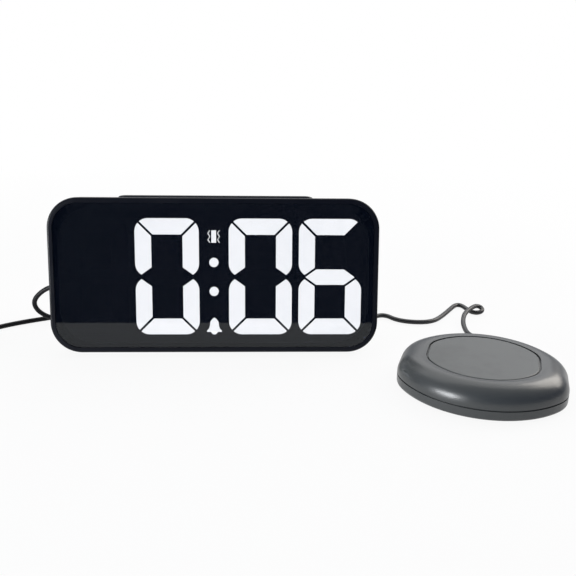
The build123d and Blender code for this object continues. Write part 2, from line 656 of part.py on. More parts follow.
def alarm_mode_slider():
    """Ribbed thumb piece with a stem through the slot into the slide switch."""
    place = (MODE_ACROSS, BUTTON_UP)
    cap_front = HOUSING_BACK + GAP
    slider = slab(MODE_CAP_WIDTH, MODE_CAP_HEIGHT, BUTTON_FLANGE, cap_front, MODE_CAP_THICKNESS, place)
    for k in range(MODE_RIBS):
        x = MODE_ACROSS + (k - (MODE_RIBS - 1) / 2) * 3 * MODE_RIB
        slider += block(MODE_RIB, MODE_CAP_HEIGHT, cap_front + MODE_CAP_THICKNESS, MODE_RIB, (x, BUTTON_UP))
    stem_front = MAIN_BOARD_BACK + MODE_BODY_DEPTH - MODE_GROOVE_DEPTH + SLIDE_GAP
    return slider + block(MODE_STEM_WIDTH, MODE_STEM_HEIGHT, stem_front, cap_front - stem_front, place)


def slide_switch_body():
    """Slide switch with a groove that its lever runs in."""
    place = (MODE_ACROSS, BUTTON_UP)
    body = block(MODE_BODY_WIDTH, MODE_BODY_HEIGHT, MAIN_BOARD_BACK, MODE_BODY_DEPTH, place)
    groove = MODE_STEM_WIDTH + 2 * (MODE_STEP + SLIDE_GAP)
    front = MAIN_BOARD_BACK + MODE_BODY_DEPTH - MODE_GROOVE_DEPTH
    return body - block(groove, MODE_STEM_HEIGHT + 2 * SLIDE_GAP, front, MODE_GROOVE_DEPTH, place)


def dimmer_wheel():
    """Toothed thumb wheel on an upright spindle."""
    points = []
    for k in range(2 * DIMMER_TEETH):
        radius = DIMMER_RADIUS - (k % 2) * DIMMER_TOOTH_DEPTH
        angle = math.pi * k / DIMMER_TEETH
        points.append((radius * math.cos(angle), radius * math.sin(angle)))
    disc = Polygon(*points, align=None) - Circle(DIMMER_SPINDLE_RADIUS + DIMMER_SPINDLE_GAP)
    wheel = extrude(disc, amount=DIMMER_THICKNESS)
    return Pos(DIMMER_ACROSS, DIMMER_UP - DIMMER_THICKNESS / 2, -DIMMER_MIDDLE) * Rot(-90, 0, 0) * wheel


def dimmer_potentiometer():
    """Potentiometer body under the wheel, with the spindle that the wheel turns on."""
    top = DIMMER_UP - DIMMER_THICKNESS / 2 - GAP
    pot_middle = (DIMMER_ACROSS, top - POT_HEIGHT / 2)
    pot = block(POT_WIDTH, POT_HEIGHT, MAIN_BOARD_FRONT, HOUSING_INSIDE - GAP - MAIN_BOARD_FRONT, pot_middle)
    spindle = extrude(Circle(DIMMER_SPINDLE_RADIUS), amount=DIMMER_THICKNESS + GAP + SLIDE_GAP)
    return pot + Pos(DIMMER_ACROSS, top, -DIMMER_MIDDLE) * Rot(-90, 0, 0) * spindle


def speaker():
    """Small round loudspeaker: rim, cone basket and magnet, revolved."""
    rim = SPEAKER_RADIUS
    profile = [
        (0, 0),
        (rim, 0),
        (rim, SPEAKER_RIM),
        (rim - SPEAKER_RIM, SPEAKER_RIM),
        (MAGNET_RADIUS, SPEAKER_RIM + SPEAKER_CONE_DEPTH),
        (MAGNET_RADIUS, SPEAKER_RIM + SPEAKER_CONE_DEPTH + MAGNET_DEPTH),
        (0, SPEAKER_RIM + SPEAKER_CONE_DEPTH + MAGNET_DEPTH),
    ]
    body = revolve(Plane.XZ * Polygon(*profile, align=None), Axis.Z)
    return Pos(SPEAKER_ACROSS, SPEAKER_UP, -HOUSING_INSIDE + GAP) * body


def battery_door():
    """Flush door over the backup cell, with a countersunk hole for its screw."""
    front = HOUSING_BACK - DOOR_THICKNESS
    door = slab(DOOR_WIDTH, DOOR_HEIGHT, DOOR_CORNER, front, DOOR_THICKNESS, DOOR_MIDDLE)
    door -= rod(DOOR_SCREW_RADIUS + GAP, front, DOOR_THICKNESS, DOOR_SCREW_PLACE)
    return door - rod(DOOR_HEAD_RADIUS + GAP, HOUSING_BACK - DOOR_HEAD_HEIGHT, DOOR_HEAD_HEIGHT, DOOR_SCREW_PLACE)


def battery_door_screw():
    """Small screw that keeps the cell's door shut."""
    head = rod(DOOR_HEAD_RADIUS, HOUSING_BACK - DOOR_HEAD_HEIGHT, DOOR_HEAD_HEIGHT, DOOR_SCREW_PLACE)
    return head + rod(DOOR_SCREW_RADIUS, HOUSING_BACK - DOOR_SCREW_LENGTH, DOOR_SCREW_LENGTH, DOOR_SCREW_PLACE)


def backup_cell():
    """Coin cell that keeps the time through a power cut."""
    front = HOUSING_BACK - DOOR_THICKNESS - GAP - CELL_THICKNESS - GAP
    return rod(CELL_RADIUS, front, CELL_THICKNESS, (CELL_ACROSS, CELL_UP))


def cell_clip():
    """Sprung strip under the cell, on the floor of the bay."""
    cell_front = HOUSING_BACK - DOOR_THICKNESS - GAP - CELL_THICKNESS - GAP
    depth = cell_front - BAY_FLOOR_DEPTH
    strip = block(CLIP_WIDTH, CLIP_HEIGHT, BAY_FLOOR_DEPTH, CLIP_THICKNESS, (CELL_ACROSS, CELL_UP))
    for side in (-1, 1):
        foot = (CELL_ACROSS + side * (CLIP_WIDTH - CLIP_THICKNESS) / 4, CELL_UP)
        strip += block(CLIP_THICKNESS, CLIP_HEIGHT, BAY_FLOOR_DEPTH, depth, foot)
    return strip


def socket(place, width, height, nose_radius, bore_radius):
    """Moulded socket from the main board to the outside of the back wall."""
    body = block(width, height, MAIN_BOARD_BACK, HOUSING_INSIDE - MAIN_BOARD_BACK, place)
    body += rod(nose_radius, MAIN_BOARD_BACK, HOUSING_BACK - MAIN_BOARD_BACK, place)
    return body - rod(bore_radius, HOUSING_BACK - JACK_BORE_DEPTH, JACK_BORE_DEPTH, place)


def power_jack():
    """Barrel socket with its centre pin."""
    body = socket(POWER_JACK_PLACE, POWER_JACK_WIDTH, POWER_JACK_HEIGHT, POWER_NOSE_RADIUS, POWER_BORE_RADIUS)
    floor = HOUSING_BACK - JACK_BORE_DEPTH
    return body + rod(POWER_PIN_RADIUS, floor, JACK_BORE_DEPTH - OVERRUN, POWER_JACK_PLACE)


def shaker_jack():
    """Round socket for the shaker's plug."""
    return socket(SHAKER_JACK_PLACE, SHAKER_JACK_WIDTH, SHAKER_JACK_HEIGHT, SHAKER_NOSE_RADIUS, SHAKER_BORE_RADIUS)


def usb_port():
    """Folded metal shell with a contact tongue."""
    place = (USB_ACROSS, USB_UP)
    front = HOUSING_BACK - USB_DEPTH
    port = block(USB_WIDTH, USB_HEIGHT, front, USB_DEPTH, place)
    port -= block(USB_WIDTH - 2 * USB_SHELL, USB_HEIGHT - 2 * USB_SHELL, front + OVERRUN, USB_DEPTH, place)
    tongue_up = USB_UP + USB_HEIGHT / 2 - USB_SHELL - USB_TONGUE_THICKNESS
    tongue = (USB_TONGUE_WIDTH, USB_TONGUE_THICKNESS, front + OVERRUN, USB_TONGUE_DEPTH)
    return port + block(*tongue, (USB_ACROSS, tongue_up))


def snooze_bar():
    """Long thin bar along the top, on two legs that reach its switches."""
    depth = SNOOZE_BACK - SNOOZE_FRONT
    plate = extrude(RectangleRounded(SNOOZE_LENGTH, depth, SNOOZE_CORNER), amount=-SNOOZE_THICKNESS)
    plate = fillet(plate.faces().sort_by(Axis.Z)[-1].edges(), SNOOZE_EDGE_ROUND)
    slope = Pos(0, SNOOZE_TOP, -SNOOZE_FRONT) * Rot(-90 - TOP_SLOPE_DEGREES, 0, 0)
    bar = slope * Pos(0, depth / 2, 0) * plate
    leg_bottom = SNOOZE_BOARD_TOP + SWITCH_HEIGHT - SLIDE_GAP
    leg_top = SNOOZE_TOP - SNOOZE_THICKNESS - TOP_SLOPE * (SNOOZE_LEG_MIDDLE + SNOOZE_LEG_DEPTH / 2 - SNOOZE_FRONT)
    for x in (-SNOOZE_LEG_ACROSS, SNOOZE_LEG_ACROSS):
        height = leg_top + SNOOZE_THICKNESS / 2 - leg_bottom
        middle = (x, leg_bottom + height / 2)
        bar += block(SNOOZE_LEG_WIDTH, height, SNOOZE_LEG_MIDDLE - SNOOZE_LEG_DEPTH / 2, SNOOZE_LEG_DEPTH, middle)
    return bar


def snooze_board():
    """Narrow board across the shelves under the snooze bar."""
    middle = (0, SNOOZE_BOARD_TOP - BOARD_THICKNESS / 2)
    front = SNOOZE_LEG_MIDDLE - SNOOZE_BOARD_DEPTH / 2
    return block(SNOOZE_BOARD_LENGTH, BOARD_THICKNESS, front, SNOOZE_BOARD_DEPTH, middle)


def snooze_switches():
    """Two switch bodies, each open for one leg of the bar."""
    bodies = []
    size = SNOOZE_LEG_WIDTH + 2 * OVERRUN
    deep = SNOOZE_LEG_DEPTH + 2 * OVERRUN
    for x in (-SNOOZE_LEG_ACROSS, SNOOZE_LEG_ACROSS):
        middle = (x, SNOOZE_BOARD_TOP + SWITCH_HEIGHT / 2)
        switch = block(size, SWITCH_HEIGHT, SNOOZE_LEG_MIDDLE - deep / 2, deep, middle)
        well = SNOOZE_TRAVEL + 2 * SLIDE_GAP
        well_middle = (x, SNOOZE_BOARD_TOP + SWITCH_HEIGHT - well / 2)
        hole_depth = SNOOZE_LEG_DEPTH + 2 * SLIDE_GAP
        switch -= block(SNOOZE_LEG_WIDTH + 2 * SLIDE_GAP, well, SNOOZE_LEG_MIDDLE - hole_depth / 2, hole_depth, well_middle)
        bodies.append(switch.solid())
    return Compound(children=bodies)


# Shaker: a low rounded case with two flattened ends, turned a little on the table
SHAKER_X = 131.2
SHAKER_Y = -55.6
SHAKER_TURN_DEGREES = -19.7
SHAKER_HALF_LENGTH = 39.8
SHAKER_HALF_WIDTH = 36.5
SHAKER_FLAT = 11
SHAKER_CORNER = 22
PANEL_HALF_LENGTH = 26.5
PANEL_HALF_WIDTH = 26.3
PANEL_FLAT = 8.9
PANEL_CORNER = 16
PANEL_RIM = 0.9
PANEL_THICKNESS = 1.2
PANEL_GROOVE = 0.7
SHAKER_BASE_Z = 0.8
SHAKER_SEAM_Z = 6.3
SHAKER_TOP_Z = 16
SHAKER_WALL = 1.8
SHAKER_ROOF = 2.8
SHAKER_HOLLOW_DRAFT = 3.1
SHAKER_BASE_ROUND = 1.6
SEAM_GROOVE = 0.7
SHOULDER_STEP_DEGREES = [0, 30, 60, 90]
SHOULDER_POWER = 0.8
FOOT_RADIUS = 4.5
FOOT_ACROSS = 22
FOOT_ASIDE = 18
FOOT_RECESS = 0.4
SHAKER_SCREW_ACROSS = 29
SHAKER_SCREW_ASIDE = 12
SHAKER_BOSS_RADIUS = 3.2
SHAKER_BOSS_TOP = 4.9
SHAKER_HEAD_TOP = 3
SHAKER_SCREW_LENGTH = 7

# Shaker motor, its clamp and its off-centre weight
MOTOR_Z = 7.5
MOTOR_RADIUS = 6
MOTOR_HALF_HEIGHT = 4.6
MOTOR_START = -24
MOTOR_LENGTH = 20
MOTOR_NOSE_RADIUS = 2.5
MOTOR_NOSE_LENGTH = 1.5
SHAFT_RADIUS = 1
SHAFT_GAP = 0.05
SHAFT_INSIDE = 15
SHAFT_OUTSIDE = 14
WEIGHT_RADIUS = 4.7
WEIGHT_LENGTH = 9
WEIGHT_HUB_RADIUS = 2.2
WEIGHT_START = 3.5
CLAMP_WIDTH = 8
CLAMP_THICKNESS = 0.8
CLAMP_FOOT = 4
CLAMP_MIDDLE = -14
CRADLE_WALL = 1.5
CRADLE_HEIGHT = 5

# Cable grommet at the back of the shaker
GROMMET_NECK_RADIUS = 2.4
GROMMET_FLANGE_RADIUS = 3.4
GROMMET_FLANGE = 1
GROMMET_CLEARANCE = 1.3
GROMMET_ROOT_RADIUS = 2.9
GROMMET_TIP_RADIUS = 1.9
GROMMET_LENGTH = 6.1
GROMMET_ACROSS = -1.86

SHAKER_SEAT = Pos(SHAKER_X, SHAKER_Y, 0) * Rot(0, 0, SHAKER_TURN_DEGREES)
SHAKER_FLOOR_Z = SHAKER_BASE_Z + SHAKER_WALL
SHAKER_CEILING_Z = SHAKER_TOP_Z - SHAKER_ROOF
FOOT_PLACES = [(x, y) for x in (-FOOT_ACROSS, FOOT_ACROSS) for y in (-FOOT_ASIDE, FOOT_ASIDE)]
SHAKER_SCREW_PLACES = [
    (x, y)
    for x in (-SHAKER_SCREW_ACROSS, SHAKER_SCREW_ACROSS)
    for y in (-SHAKER_SCREW_ASIDE, SHAKER_SCREW_ASIDE)
]


def shaker_outline(half_length, half_width, flat, corner):
    """Two bowed sides joined by two straight ends, with rounded corners."""
    edges = [
        ThreePointArc((half_length, flat), (0, half_width), (-half_length, flat)),
        Line((-half_length, flat), (-half_length, -flat)),
        ThreePointArc((-half_length, -flat), (0, -half_width), (half_length, -flat)),
        Line((half_length, -flat), (half_length, flat)),
    ]
    face = make_face(edges)
    return fillet(face.vertices(), corner)


def outer_outline(inset):
    """The case's widest outline, drawn in by an inset."""
    return shaker_outline(
        SHAKER_HALF_LENGTH - inset, SHAKER_HALF_WIDTH - inset, SHAKER_FLAT, SHAKER_CORNER - inset
    )


def panel_outline(inset):
    """The top panel's outline, drawn in by an inset."""
    return shaker_outline(
        PANEL_HALF_LENGTH - inset, PANEL_HALF_WIDTH - inset, PANEL_FLAT, PANEL_CORNER - inset
    )


def dome():
    """Rounded shoulder from the seam up to the panel, lofted through four outlines."""
    sections = []
    for degrees in SHOULDER_STEP_DEGREES:
        out = math.cos(math.radians(degrees)) ** SHOULDER_POWER if degrees < 90 else 0
        outline = shaker_outline(
            PANEL_HALF_LENGTH + PANEL_RIM + (SHAKER_HALF_LENGTH - PANEL_HALF_LENGTH - PANEL_RIM) * out,
            PANEL_HALF_WIDTH + PANEL_RIM + (SHAKER_HALF_WIDTH - PANEL_HALF_WIDTH - PANEL_RIM) * out,
            PANEL_FLAT + (SHAKER_FLAT - PANEL_FLAT) * out,
            PANEL_CORNER + (SHAKER_CORNER - PANEL_CORNER) * out,
        )
        height = SHAKER_SEAM_Z + (SHAKER_TOP_Z - SHAKER_SEAM_Z) * math.sin(math.radians(degrees))
        sections.append((Pos(0, 0, height) * outline).face())
    return loft(sections)


def shaker_hollow():
    """Room under the roof, drawn in towards the ceiling."""
    lower = Pos(0, 0, SHAKER_SEAM_Z) * outer_outline(SHAKER_WALL)
    upper = Pos(0, 0, SHAKER_CEILING_Z) * outer_outline(SHAKER_WALL + SHAKER_HOLLOW_DRAFT)
    return loft([lower.face(), upper.face()], ruled=True)


def post(radius, bottom, top, place):
    """Upright round bar in the shaker's frame."""
    return extrude(Pos(place[0], place[1], bottom) * Circle(radius), amount=top - bottom)


def cable_hole():
    """Round way through the back of the case, half in each cover."""
    reach = 2 * SHAKER_WALL + 2 * OVERRUN
    hole = extrude(Circle(GROMMET_NECK_RADIUS + GAP), amount=reach)
    return Pos(GROMMET_ACROSS, SHAKER_HALF_WIDTH - reach + OVERRUN, SHAKER_SEAM_Z) * Rot(-90, 0, 0) * hole


def shaker_top_cover():
    """Domed upper shell with a recess for the panel and four screw posts."""
    outside = dome()
    shell = outside - shaker_hollow()
    for place in SHAKER_SCREW_PLACES:
        pillar = post(SHAKER_BOSS_RADIUS, SHAKER_BOSS_TOP + GAP, SHAKER_TOP_Z, place)
        cap = pillar & outside
        stub = post(SHAKER_BOSS_RADIUS, SHAKER_BOSS_TOP + GAP, SHAKER_SEAM_Z, place)
        shell += cap + stub
        shell -= post(PILOT_RADIUS, SHAKER_BOSS_TOP, SHAKER_HEAD_TOP + SHAKER_SCREW_LENGTH + OVERRUN, place)
    recess = extrude(Pos(0, 0, SHAKER_TOP_Z) * panel_outline(0), amount=-PANEL_THICKNESS)
    return shell - recess - cable_hole()


def shaker_top_panel():
    """Flat pad set in the top, with a narrow groove left all round it."""
    panel = extrude(Pos(0, 0, SHAKER_TOP_Z - PANEL_THICKNESS) * panel_outline(PANEL_GROOVE), amount=PANEL_THICKNESS)
    return fillet(panel.faces().sort_by(Axis.Z)[-1].edges(), PANEL_GROOVE)


def shaker_bottom_cover():
    """Dish with a rounded lower edge, a shadow line at the seam, bosses and a motor cradle."""
    groove_z = SHAKER_SEAM_Z - SEAM_GROOVE
    dish = extrude(Pos(0, 0, SHAKER_BASE_Z) * outer_outline(0), amount=groove_z - SHAKER_BASE_Z)
    dish = fillet(dish.faces().sort_by(Axis.Z)[0].edges(), SHAKER_BASE_ROUND)
    dish += extrude(Pos(0, 0, groove_z) * outer_outline(SEAM_GROOVE), amount=SEAM_GROOVE - GAP)
    hollow = SHAKER_SEAM_Z - SHAKER_FLOOR_Z
    dish -= extrude(Pos(0, 0, SHAKER_FLOOR_Z) * outer_outline(SHAKER_WALL), amount=hollow)
    for place in SHAKER_SCREW_PLACES:
        dish += post(SHAKER_BOSS_RADIUS, SHAKER_BASE_Z, SHAKER_BOSS_TOP, place)
        dish -= post(CLEARANCE_RADIUS, SHAKER_BASE_Z, SHAKER_BOSS_TOP, place)
        dish -= post(HEAD_POCKET_RADIUS, SHAKER_BASE_Z, SHAKER_HEAD_TOP, place)
    for place in FOOT_PLACES:
        dish -= post(FOOT_RADIUS + GAP, SHAKER_BASE_Z, SHAKER_BASE_Z + FOOT_RECESS, place)
    for side in (-1, 1):
        y = side * (MOTOR_RADIUS + GAP + CRADLE_WALL / 2)
        for x in (MOTOR_START + CRADLE_WALL, MOTOR_START + MOTOR_LENGTH - CRADLE_WALL):
            rib = Pos(x, y, SHAKER_BASE_Z + CRADLE_HEIGHT / 2) * Box(2 * CRADLE_WALL, CRADLE_WALL, CRADLE_HEIGHT)
            dish += rib - post(SHAKER_HALF_LENGTH, 0, SHAKER_BASE_Z, (0, 0))
    return dish - cable_hole()


def shaker_feet():
    """Four soft discs glued into the base."""
    feet = [post(FOOT_RADIUS, 0, SHAKER_BASE_Z + FOOT_RECESS, place).solid() for place in FOOT_PLACES]
    return Compound(children=feet)


def shaker_screws():
    """Four screws from below into the top cover's posts."""
    screws = []
    for place in SHAKER_SCREW_PLACES:
        screw = post(SCREW_HEAD_RADIUS, SHAKER_HEAD_TOP - SCREW_HEAD_HEIGHT, SHAKER_HEAD_TOP, place)
        screw += post(SCREW_RADIUS, SHAKER_HEAD_TOP, SHAKER_HEAD_TOP + SHAKER_SCREW_LENGTH, place)
        screws.append(screw.solid())
    return Compound(children=screws)


def along(shape, start):
    """Set a shape's Z axis along the motor's shaft."""
    return Pos(start, 0, MOTOR_Z) * Rot(0, 90, 0) * shape


def shaker_motor():
    """Flat-sided motor can with a nose bearing, bored for its shaft."""
    flat = Rectangle(2 * MOTOR_HALF_HEIGHT, 2 * MOTOR_RADIUS)
    can = along(extrude(Circle(MOTOR_RADIUS) & flat, amount=MOTOR_LENGTH), MOTOR_START)
    nose_start = MOTOR_START + MOTOR_LENGTH
    can += along(extrude(Circle(MOTOR_NOSE_RADIUS), amount=MOTOR_NOSE_LENGTH), nose_start)
    bore = extrude(Circle(SHAFT_RADIUS + SHAFT_GAP), amount=SHAFT_INSIDE + MOTOR_NOSE_LENGTH + SHAFT_RADIUS)
    return can - along(bore, nose_start - SHAFT_INSIDE - SHAFT_RADIUS)


def motor_shaft():
    """Plain steel shaft."""
    start = MOTOR_START + MOTOR_LENGTH - SHAFT_INSIDE
    return along(extrude(Circle(SHAFT_RADIUS), amount=SHAFT_INSIDE + SHAFT_OUTSIDE), start)


def eccentric_weight():
    """Half-round metal weight with a hub, pressed on the shaft."""
    half = Circle(WEIGHT_RADIUS) & Pos(WEIGHT_RADIUS, 0) * Rectangle(2 * WEIGHT_RADIUS, 2 * WEIGHT_RADIUS)
    outline = half + Circle(WEIGHT_HUB_RADIUS) - Circle(SHAFT_RADIUS)
    return along(extrude(outline, amount=WEIGHT_LENGTH), MOTOR_START + MOTOR_LENGTH + WEIGHT_START)


def motor_clamp():
    """Bent strap over the motor, with two feet on the floor of the case."""
    top = MOTOR_Z + MOTOR_HALF_HEIGHT + GAP
    inner = MOTOR_RADIUS + GAP
    outer = inner + CLAMP_THICKNESS
    foot_top = SHAKER_FLOOR_Z + CLAMP_THICKNESS
    profile = [
        (-outer - CLAMP_FOOT, SHAKER_FLOOR_Z),
        (-inner, SHAKER_FLOOR_Z),
        (-inner, top),
        (inner, top),
        (inner, SHAKER_FLOOR_Z),
        (outer + CLAMP_FOOT, SHAKER_FLOOR_Z),
        (outer + CLAMP_FOOT, foot_top),
        (outer, foot_top),
        (outer, top + CLAMP_THICKNESS),
        (-outer, top + CLAMP_THICKNESS),
        (-outer, foot_top),
        (-outer - CLAMP_FOOT, foot_top),
    ]
    strap = extrude(Plane.YZ * Polygon(*profile, align=None), amount=CLAMP_WIDTH)
    return Pos(CLAMP_MIDDLE - CLAMP_WIDTH / 2, 0, 0) * strap


def shaker_grommet():
    """Soft grommet gripped at the seam, tapering along the cord."""
    inner = SHAKER_HALF_WIDTH - SHAKER_WALL - GROMMET_FLANGE - GROMMET_CLEARANCE
    wall_out = SHAKER_HALF_WIDTH + SLIDE_GAP
    profile = [
        (0, inner),
        (GROMMET_FLANGE_RADIUS, inner),
        (GROMMET_FLANGE_RADIUS, inner + GROMMET_FLANGE),
        (GROMMET_NECK_RADIUS, inner + GROMMET_FLANGE),
        (GROMMET_NECK_RADIUS, wall_out),
        (GROMMET_ROOT_RADIUS, wall_out),
        (GROMMET_TIP_RADIUS, wall_out + GROMMET_LENGTH),
        (0, wall_out + GROMMET_LENGTH),
    ]
    body = revolve(Polygon(*profile, align=None), Axis.Y)
    return Pos(GROMMET_ACROSS, 0, SHAKER_SEAM_Z) * body


# Cords: one thin round cord throughout, lying on the table behind and beside the clock
CORD_RADIUS = 1.4
CORD_SIDES = 6
CORD_REST_Z = 1.4
BEND_SHARE = 0.45
COIL_PITCH = 3.76
COIL_RADIUS = 19.5
COIL_LEAD = 2.8
COIL_TURN_SKIP = 16
COIL_STEP_SHARES = [-1, -1, -1, 0, 1, 1, 1, 0, -1, -1, -1, 0, 1, 1, 1]
POWER_COIL_MIDDLE = (-150, -6)
POWER_COIL_HALF_TURNS = 14
SHAKER_COIL_MIDDLE = (51.5, 95)
SHAKER_COIL_HALF_TURNS = 15

# Points that each cord bends round, from one end to the other
POWER_CORD_ROUTE = [
    (-78, 26.29, 25.08),
    (-89, 26.29, 25.08),
    (-98.8, 28.6, 23.6),
    (-106, 29.8, 18.6),
    (-109.4, 30.3, 13.6),
    (-107.7, 30.3, 8.4),
    (-102, 30.5, 4.2),
    (-93, 31.5, 2.0),
    (-81, 33, 1.4),
    (-70, 36, 1.4),
    (-63.5, 45.5, 1.4),
    (-70, 55, 1.4),
    (-81, 52, 1.4),
    (-91.5, 44, 1.4),
    (-102.6, 36.6, 1.4),
    (-113, 31.4, 1.4),
    (-122.6, 25.4, 1.4),
    (-130, 19.2, 1.4),
    (-138, 13.5, 1.4),
    (-147.2, 13.5, 1.4),
]
POWER_TAIL_ROUTE = [
    (-152.8, 11.62, 12.68),
    (-164.5, 11.62, 12.68),
    (-175.5, 4, 8),
    (-180, -7.5, 4.2),
    (-180, -18, 3.75),
    (-180, -30, 3.75),
]
SHAKER_INNER_ROUTE = [
    (28, 44.32, 8.7),
    (28, 51.22, 7.48),
    (28.6, 60.5, 3.6),
    (30.6, 71, 1.4),
    (32, 81.5, 1.4),
    (32, 92.2, 1.4),
]
SHAKER_OUTER_ROUTE = [
    (71, 92.2, 12.68),
    (71, 84.5, 12.68),
    (72.4, 73, 7.4),
    (74.8, 61.5, 2.6),
    (77.5, 49.5, 1.4),
    (83, 38.5, 1.4),
    (91, 36, 1.4),
    (97.2, 41.2, 1.4),
    (101.8, 39.8, 1.4),
    (105, 34.2, 1.4),
    (110.5, 30.4, 1.4),
    (117.5, 28.8, 1.4),
    (124, 29.2, 1.4),
    (129.4, 32, 1.4),
    (134, 37.4, 1.4),
    (139.6, 45.4, 1.4),
    (145, 53.8, 1.4),
    (149.2, 60.2, 1.4),
    (152.8, 59, 1.4),
    (154.2, 53.4, 1.4),
    (155.2, 48, 1.4),
    (158.3, 44.6, 1.45),
    (162, 45.8, 2.1),
    (163.2, 49.4, 3.2),
    (160.4, 50.4, 4.3),
    (156.4, 46.2, 4.9),
    (151.9, 40.6, 4.95),
    (147.9, 35.2, 4.1),
    (145.2, 27.6, 2.2),
    (143.8, 18.6, 1.5),
    (143.1, 8.6, 1.8),
    (143.6, -1.4, 4.3),
    (145.31, -10.67, 6.3),
    (143.89, -14.63, 6.3),
]

# Power plug: barrel and pin contact in the jack, body and cable sleeve behind the clock
POWER_PLUG_HALF_WIDTH = 4.6
POWER_PLUG_START = 35.3
POWER_PLUG_DEPTH = 10.8
POWER_PLUG_CORNER = 1.5
POWER_SLEEVE_ROOT_RADIUS = 2.8
POWER_SLEEVE_TIP_RADIUS = 1.9
POWER_BARREL_RADIUS = 2.75
POWER_BARREL_BORE = 1.1
POWER_BARREL_FRONT = 26.4

# Shaker plug: two-pole pin in the jack, round body and cable sleeve
SHAKER_PIN_RADIUS = 1.75
SHAKER_PIN_FRONT = 26.4
SHAKER_PLUG_START = 35.3
SHAKER_PLUG_RADIUS = 4
SHAKER_PLUG_LENGTH = 14
SHAKER_PLUG_ROUND = 0.8
SHAKER_SLEEVE_RADIUS = 2.6
SHAKER_SLEEVE_TIP_RADIUS = 1.9
SHAKER_SLEEVE_LENGTH = 12

# Mains end of the power cord: a standard plug for a charger's socket, lying on the table
USB_X = -180
USB_BODY_END_Y = -30
USB_BODY_WIDTH = 15.5
USB_BODY_HEIGHT = 7.5
USB_BODY_LENGTH = 28
USB_BODY_CORNER = 2
USB_SLEEVE_LENGTH = 7
USB_SLEEVE_RADIUS = 2.4
USB_SHELL_WIDTH = 12
USB_SHELL_HEIGHT = 4.5
USB_SHELL_LENGTH = 18.8
USB_SHELL_WALL = 0.3
USB_SHELL_INSIDE = 4
USB_TONGUE_HEIGHT = 1.8
USB_LATCH = 2.2
USB_LATCH_PLACE = 6


def cord_section(at, heading):
    """Outline of the cord's cross-section, with corners at its sides so that a flat lies down."""
    side = Vector(heading.Y, -heading.X, 0)
    return Plane(origin=at, x_dir=side, z_dir=heading) * RegularPolygon(CORD_RADIUS, CORD_SIDES)


def bend_radii(points):
    """Bend radius at each inner point, from the shorter run beside it and the angle turned."""
    radii = []
    for before, at, after in zip(points, points[1:], points[2:]):
        arriving = Vector(*at) - Vector(*before)
        leaving = Vector(*after) - Vector(*at)
        turn = math.radians(arriving.get_angle(leaving))
        radii.append(BEND_SHARE * min(arriving.length, leaving.length) / math.tan(turn / 2))
    return radii


def cord_along(line):
    """Solid cord that follows a line."""
    return sweep(cord_section(line @ 0, line % 0), path=line)


def cord_run(points):
    """Solid cord through a list of points, bending smoothly at each."""
    line = FilletPolyline(*points, radius=bend_radii(points))
    cord = cord_along(line)
    square = cord_section(line @ 0, line % 0).area
    print("cord length", round(line.length, 1), "volume over section times length", cord.volume / square / line.length)
    print("bend radii", [round(radius, 1) for radius in bend_radii(points)])
    return cord


def least_gap(line):
    """Least clearance between neighbouring strands of a wound line, measured on points."""
    count = int(line.length / CORD_RADIUS)
    points = [line @ (k / count) for k in range(count + 1)]
    apart = int(COIL_TURN_SKIP)
    pairs = [(a - b).length for k, a in enumerate(points) for b in points[k + apart :]]
    return min(pairs) - 2 * CORD_RADIUS


def coil(middle, start_x, start_y, sense, half_turns):
    """Wound hank: half circles that step in, climb a layer, step out and climb again."""
    radius = COIL_RADIUS
    level = CORD_REST_Z
    side = 1
    place = Vector(middle[0] + start_x * radius, middle[1] + start_y * radius, level)
    heading = Vector(-sense * start_y, sense * start_x, 0)
    lines = [Line(place - heading * COIL_LEAD, place)]
    for step in COIL_STEP_SHARES[: int(half_turns)]:
        radius += step * COIL_PITCH / 2
        level += 0 if step else COIL_PITCH
        side = -side
        goal = Vector(middle[0] + side * start_x * radius, middle[1] + side * start_y * radius, level)
        crest = (place + goal) * 0.5 + heading * (side * -(goal - place).length / 2)
        lines.append(ThreePointArc(place, crest, goal))
        place = goal
    lines.append(Line(place, place + heading * (side * COIL_LEAD)))
    line = Wire(lines)
    print("coil length", round(line.length, 1), "least gap", round(least_gap(line), 2))
    return cord_along(line)


def turned_profile(points, depth, place):
    """Round part from (radius, distance) points, running out of the clock's back from a depth."""
    body = revolve(Polygon(*points, align=None), Axis.Y)
    return Pos(place[0], place[1], -depth) * Rot(-90, 0, 0) * body


def power_plug():
    """Right-angled plug: metal barrel in the jack, moulded body and a tapered cable sleeve."""
    start = POWER_PLUG_START
    width = 2 * POWER_PLUG_HALF_WIDTH
    body = slab(width, width, POWER_PLUG_CORNER, start, POWER_PLUG_DEPTH, POWER_JACK_PLACE)
    barrel = rod(POWER_BARREL_RADIUS, POWER_BARREL_FRONT, start - POWER_BARREL_FRONT + GAP, POWER_JACK_PLACE)
    body += barrel - rod(POWER_BARREL_BORE, POWER_BARREL_FRONT, start - POWER_BARREL_FRONT, POWER_JACK_PLACE)
    length = POWER_JACK_ACROSS - POWER_CORD_ROUTE[0][0]
    sleeve = [(0, 0), (POWER_SLEEVE_ROOT_RADIUS, 0), (POWER_SLEEVE_TIP_RADIUS, length), (0, length)]
    cone = revolve(Polygon(*sleeve, align=None), Axis.Y)
    cone = Pos(POWER_JACK_ACROSS, POWER_JACK_UP, -start - POWER_PLUG_DEPTH / 2) * Rot(0, 0, 90) * cone
    return body + cone


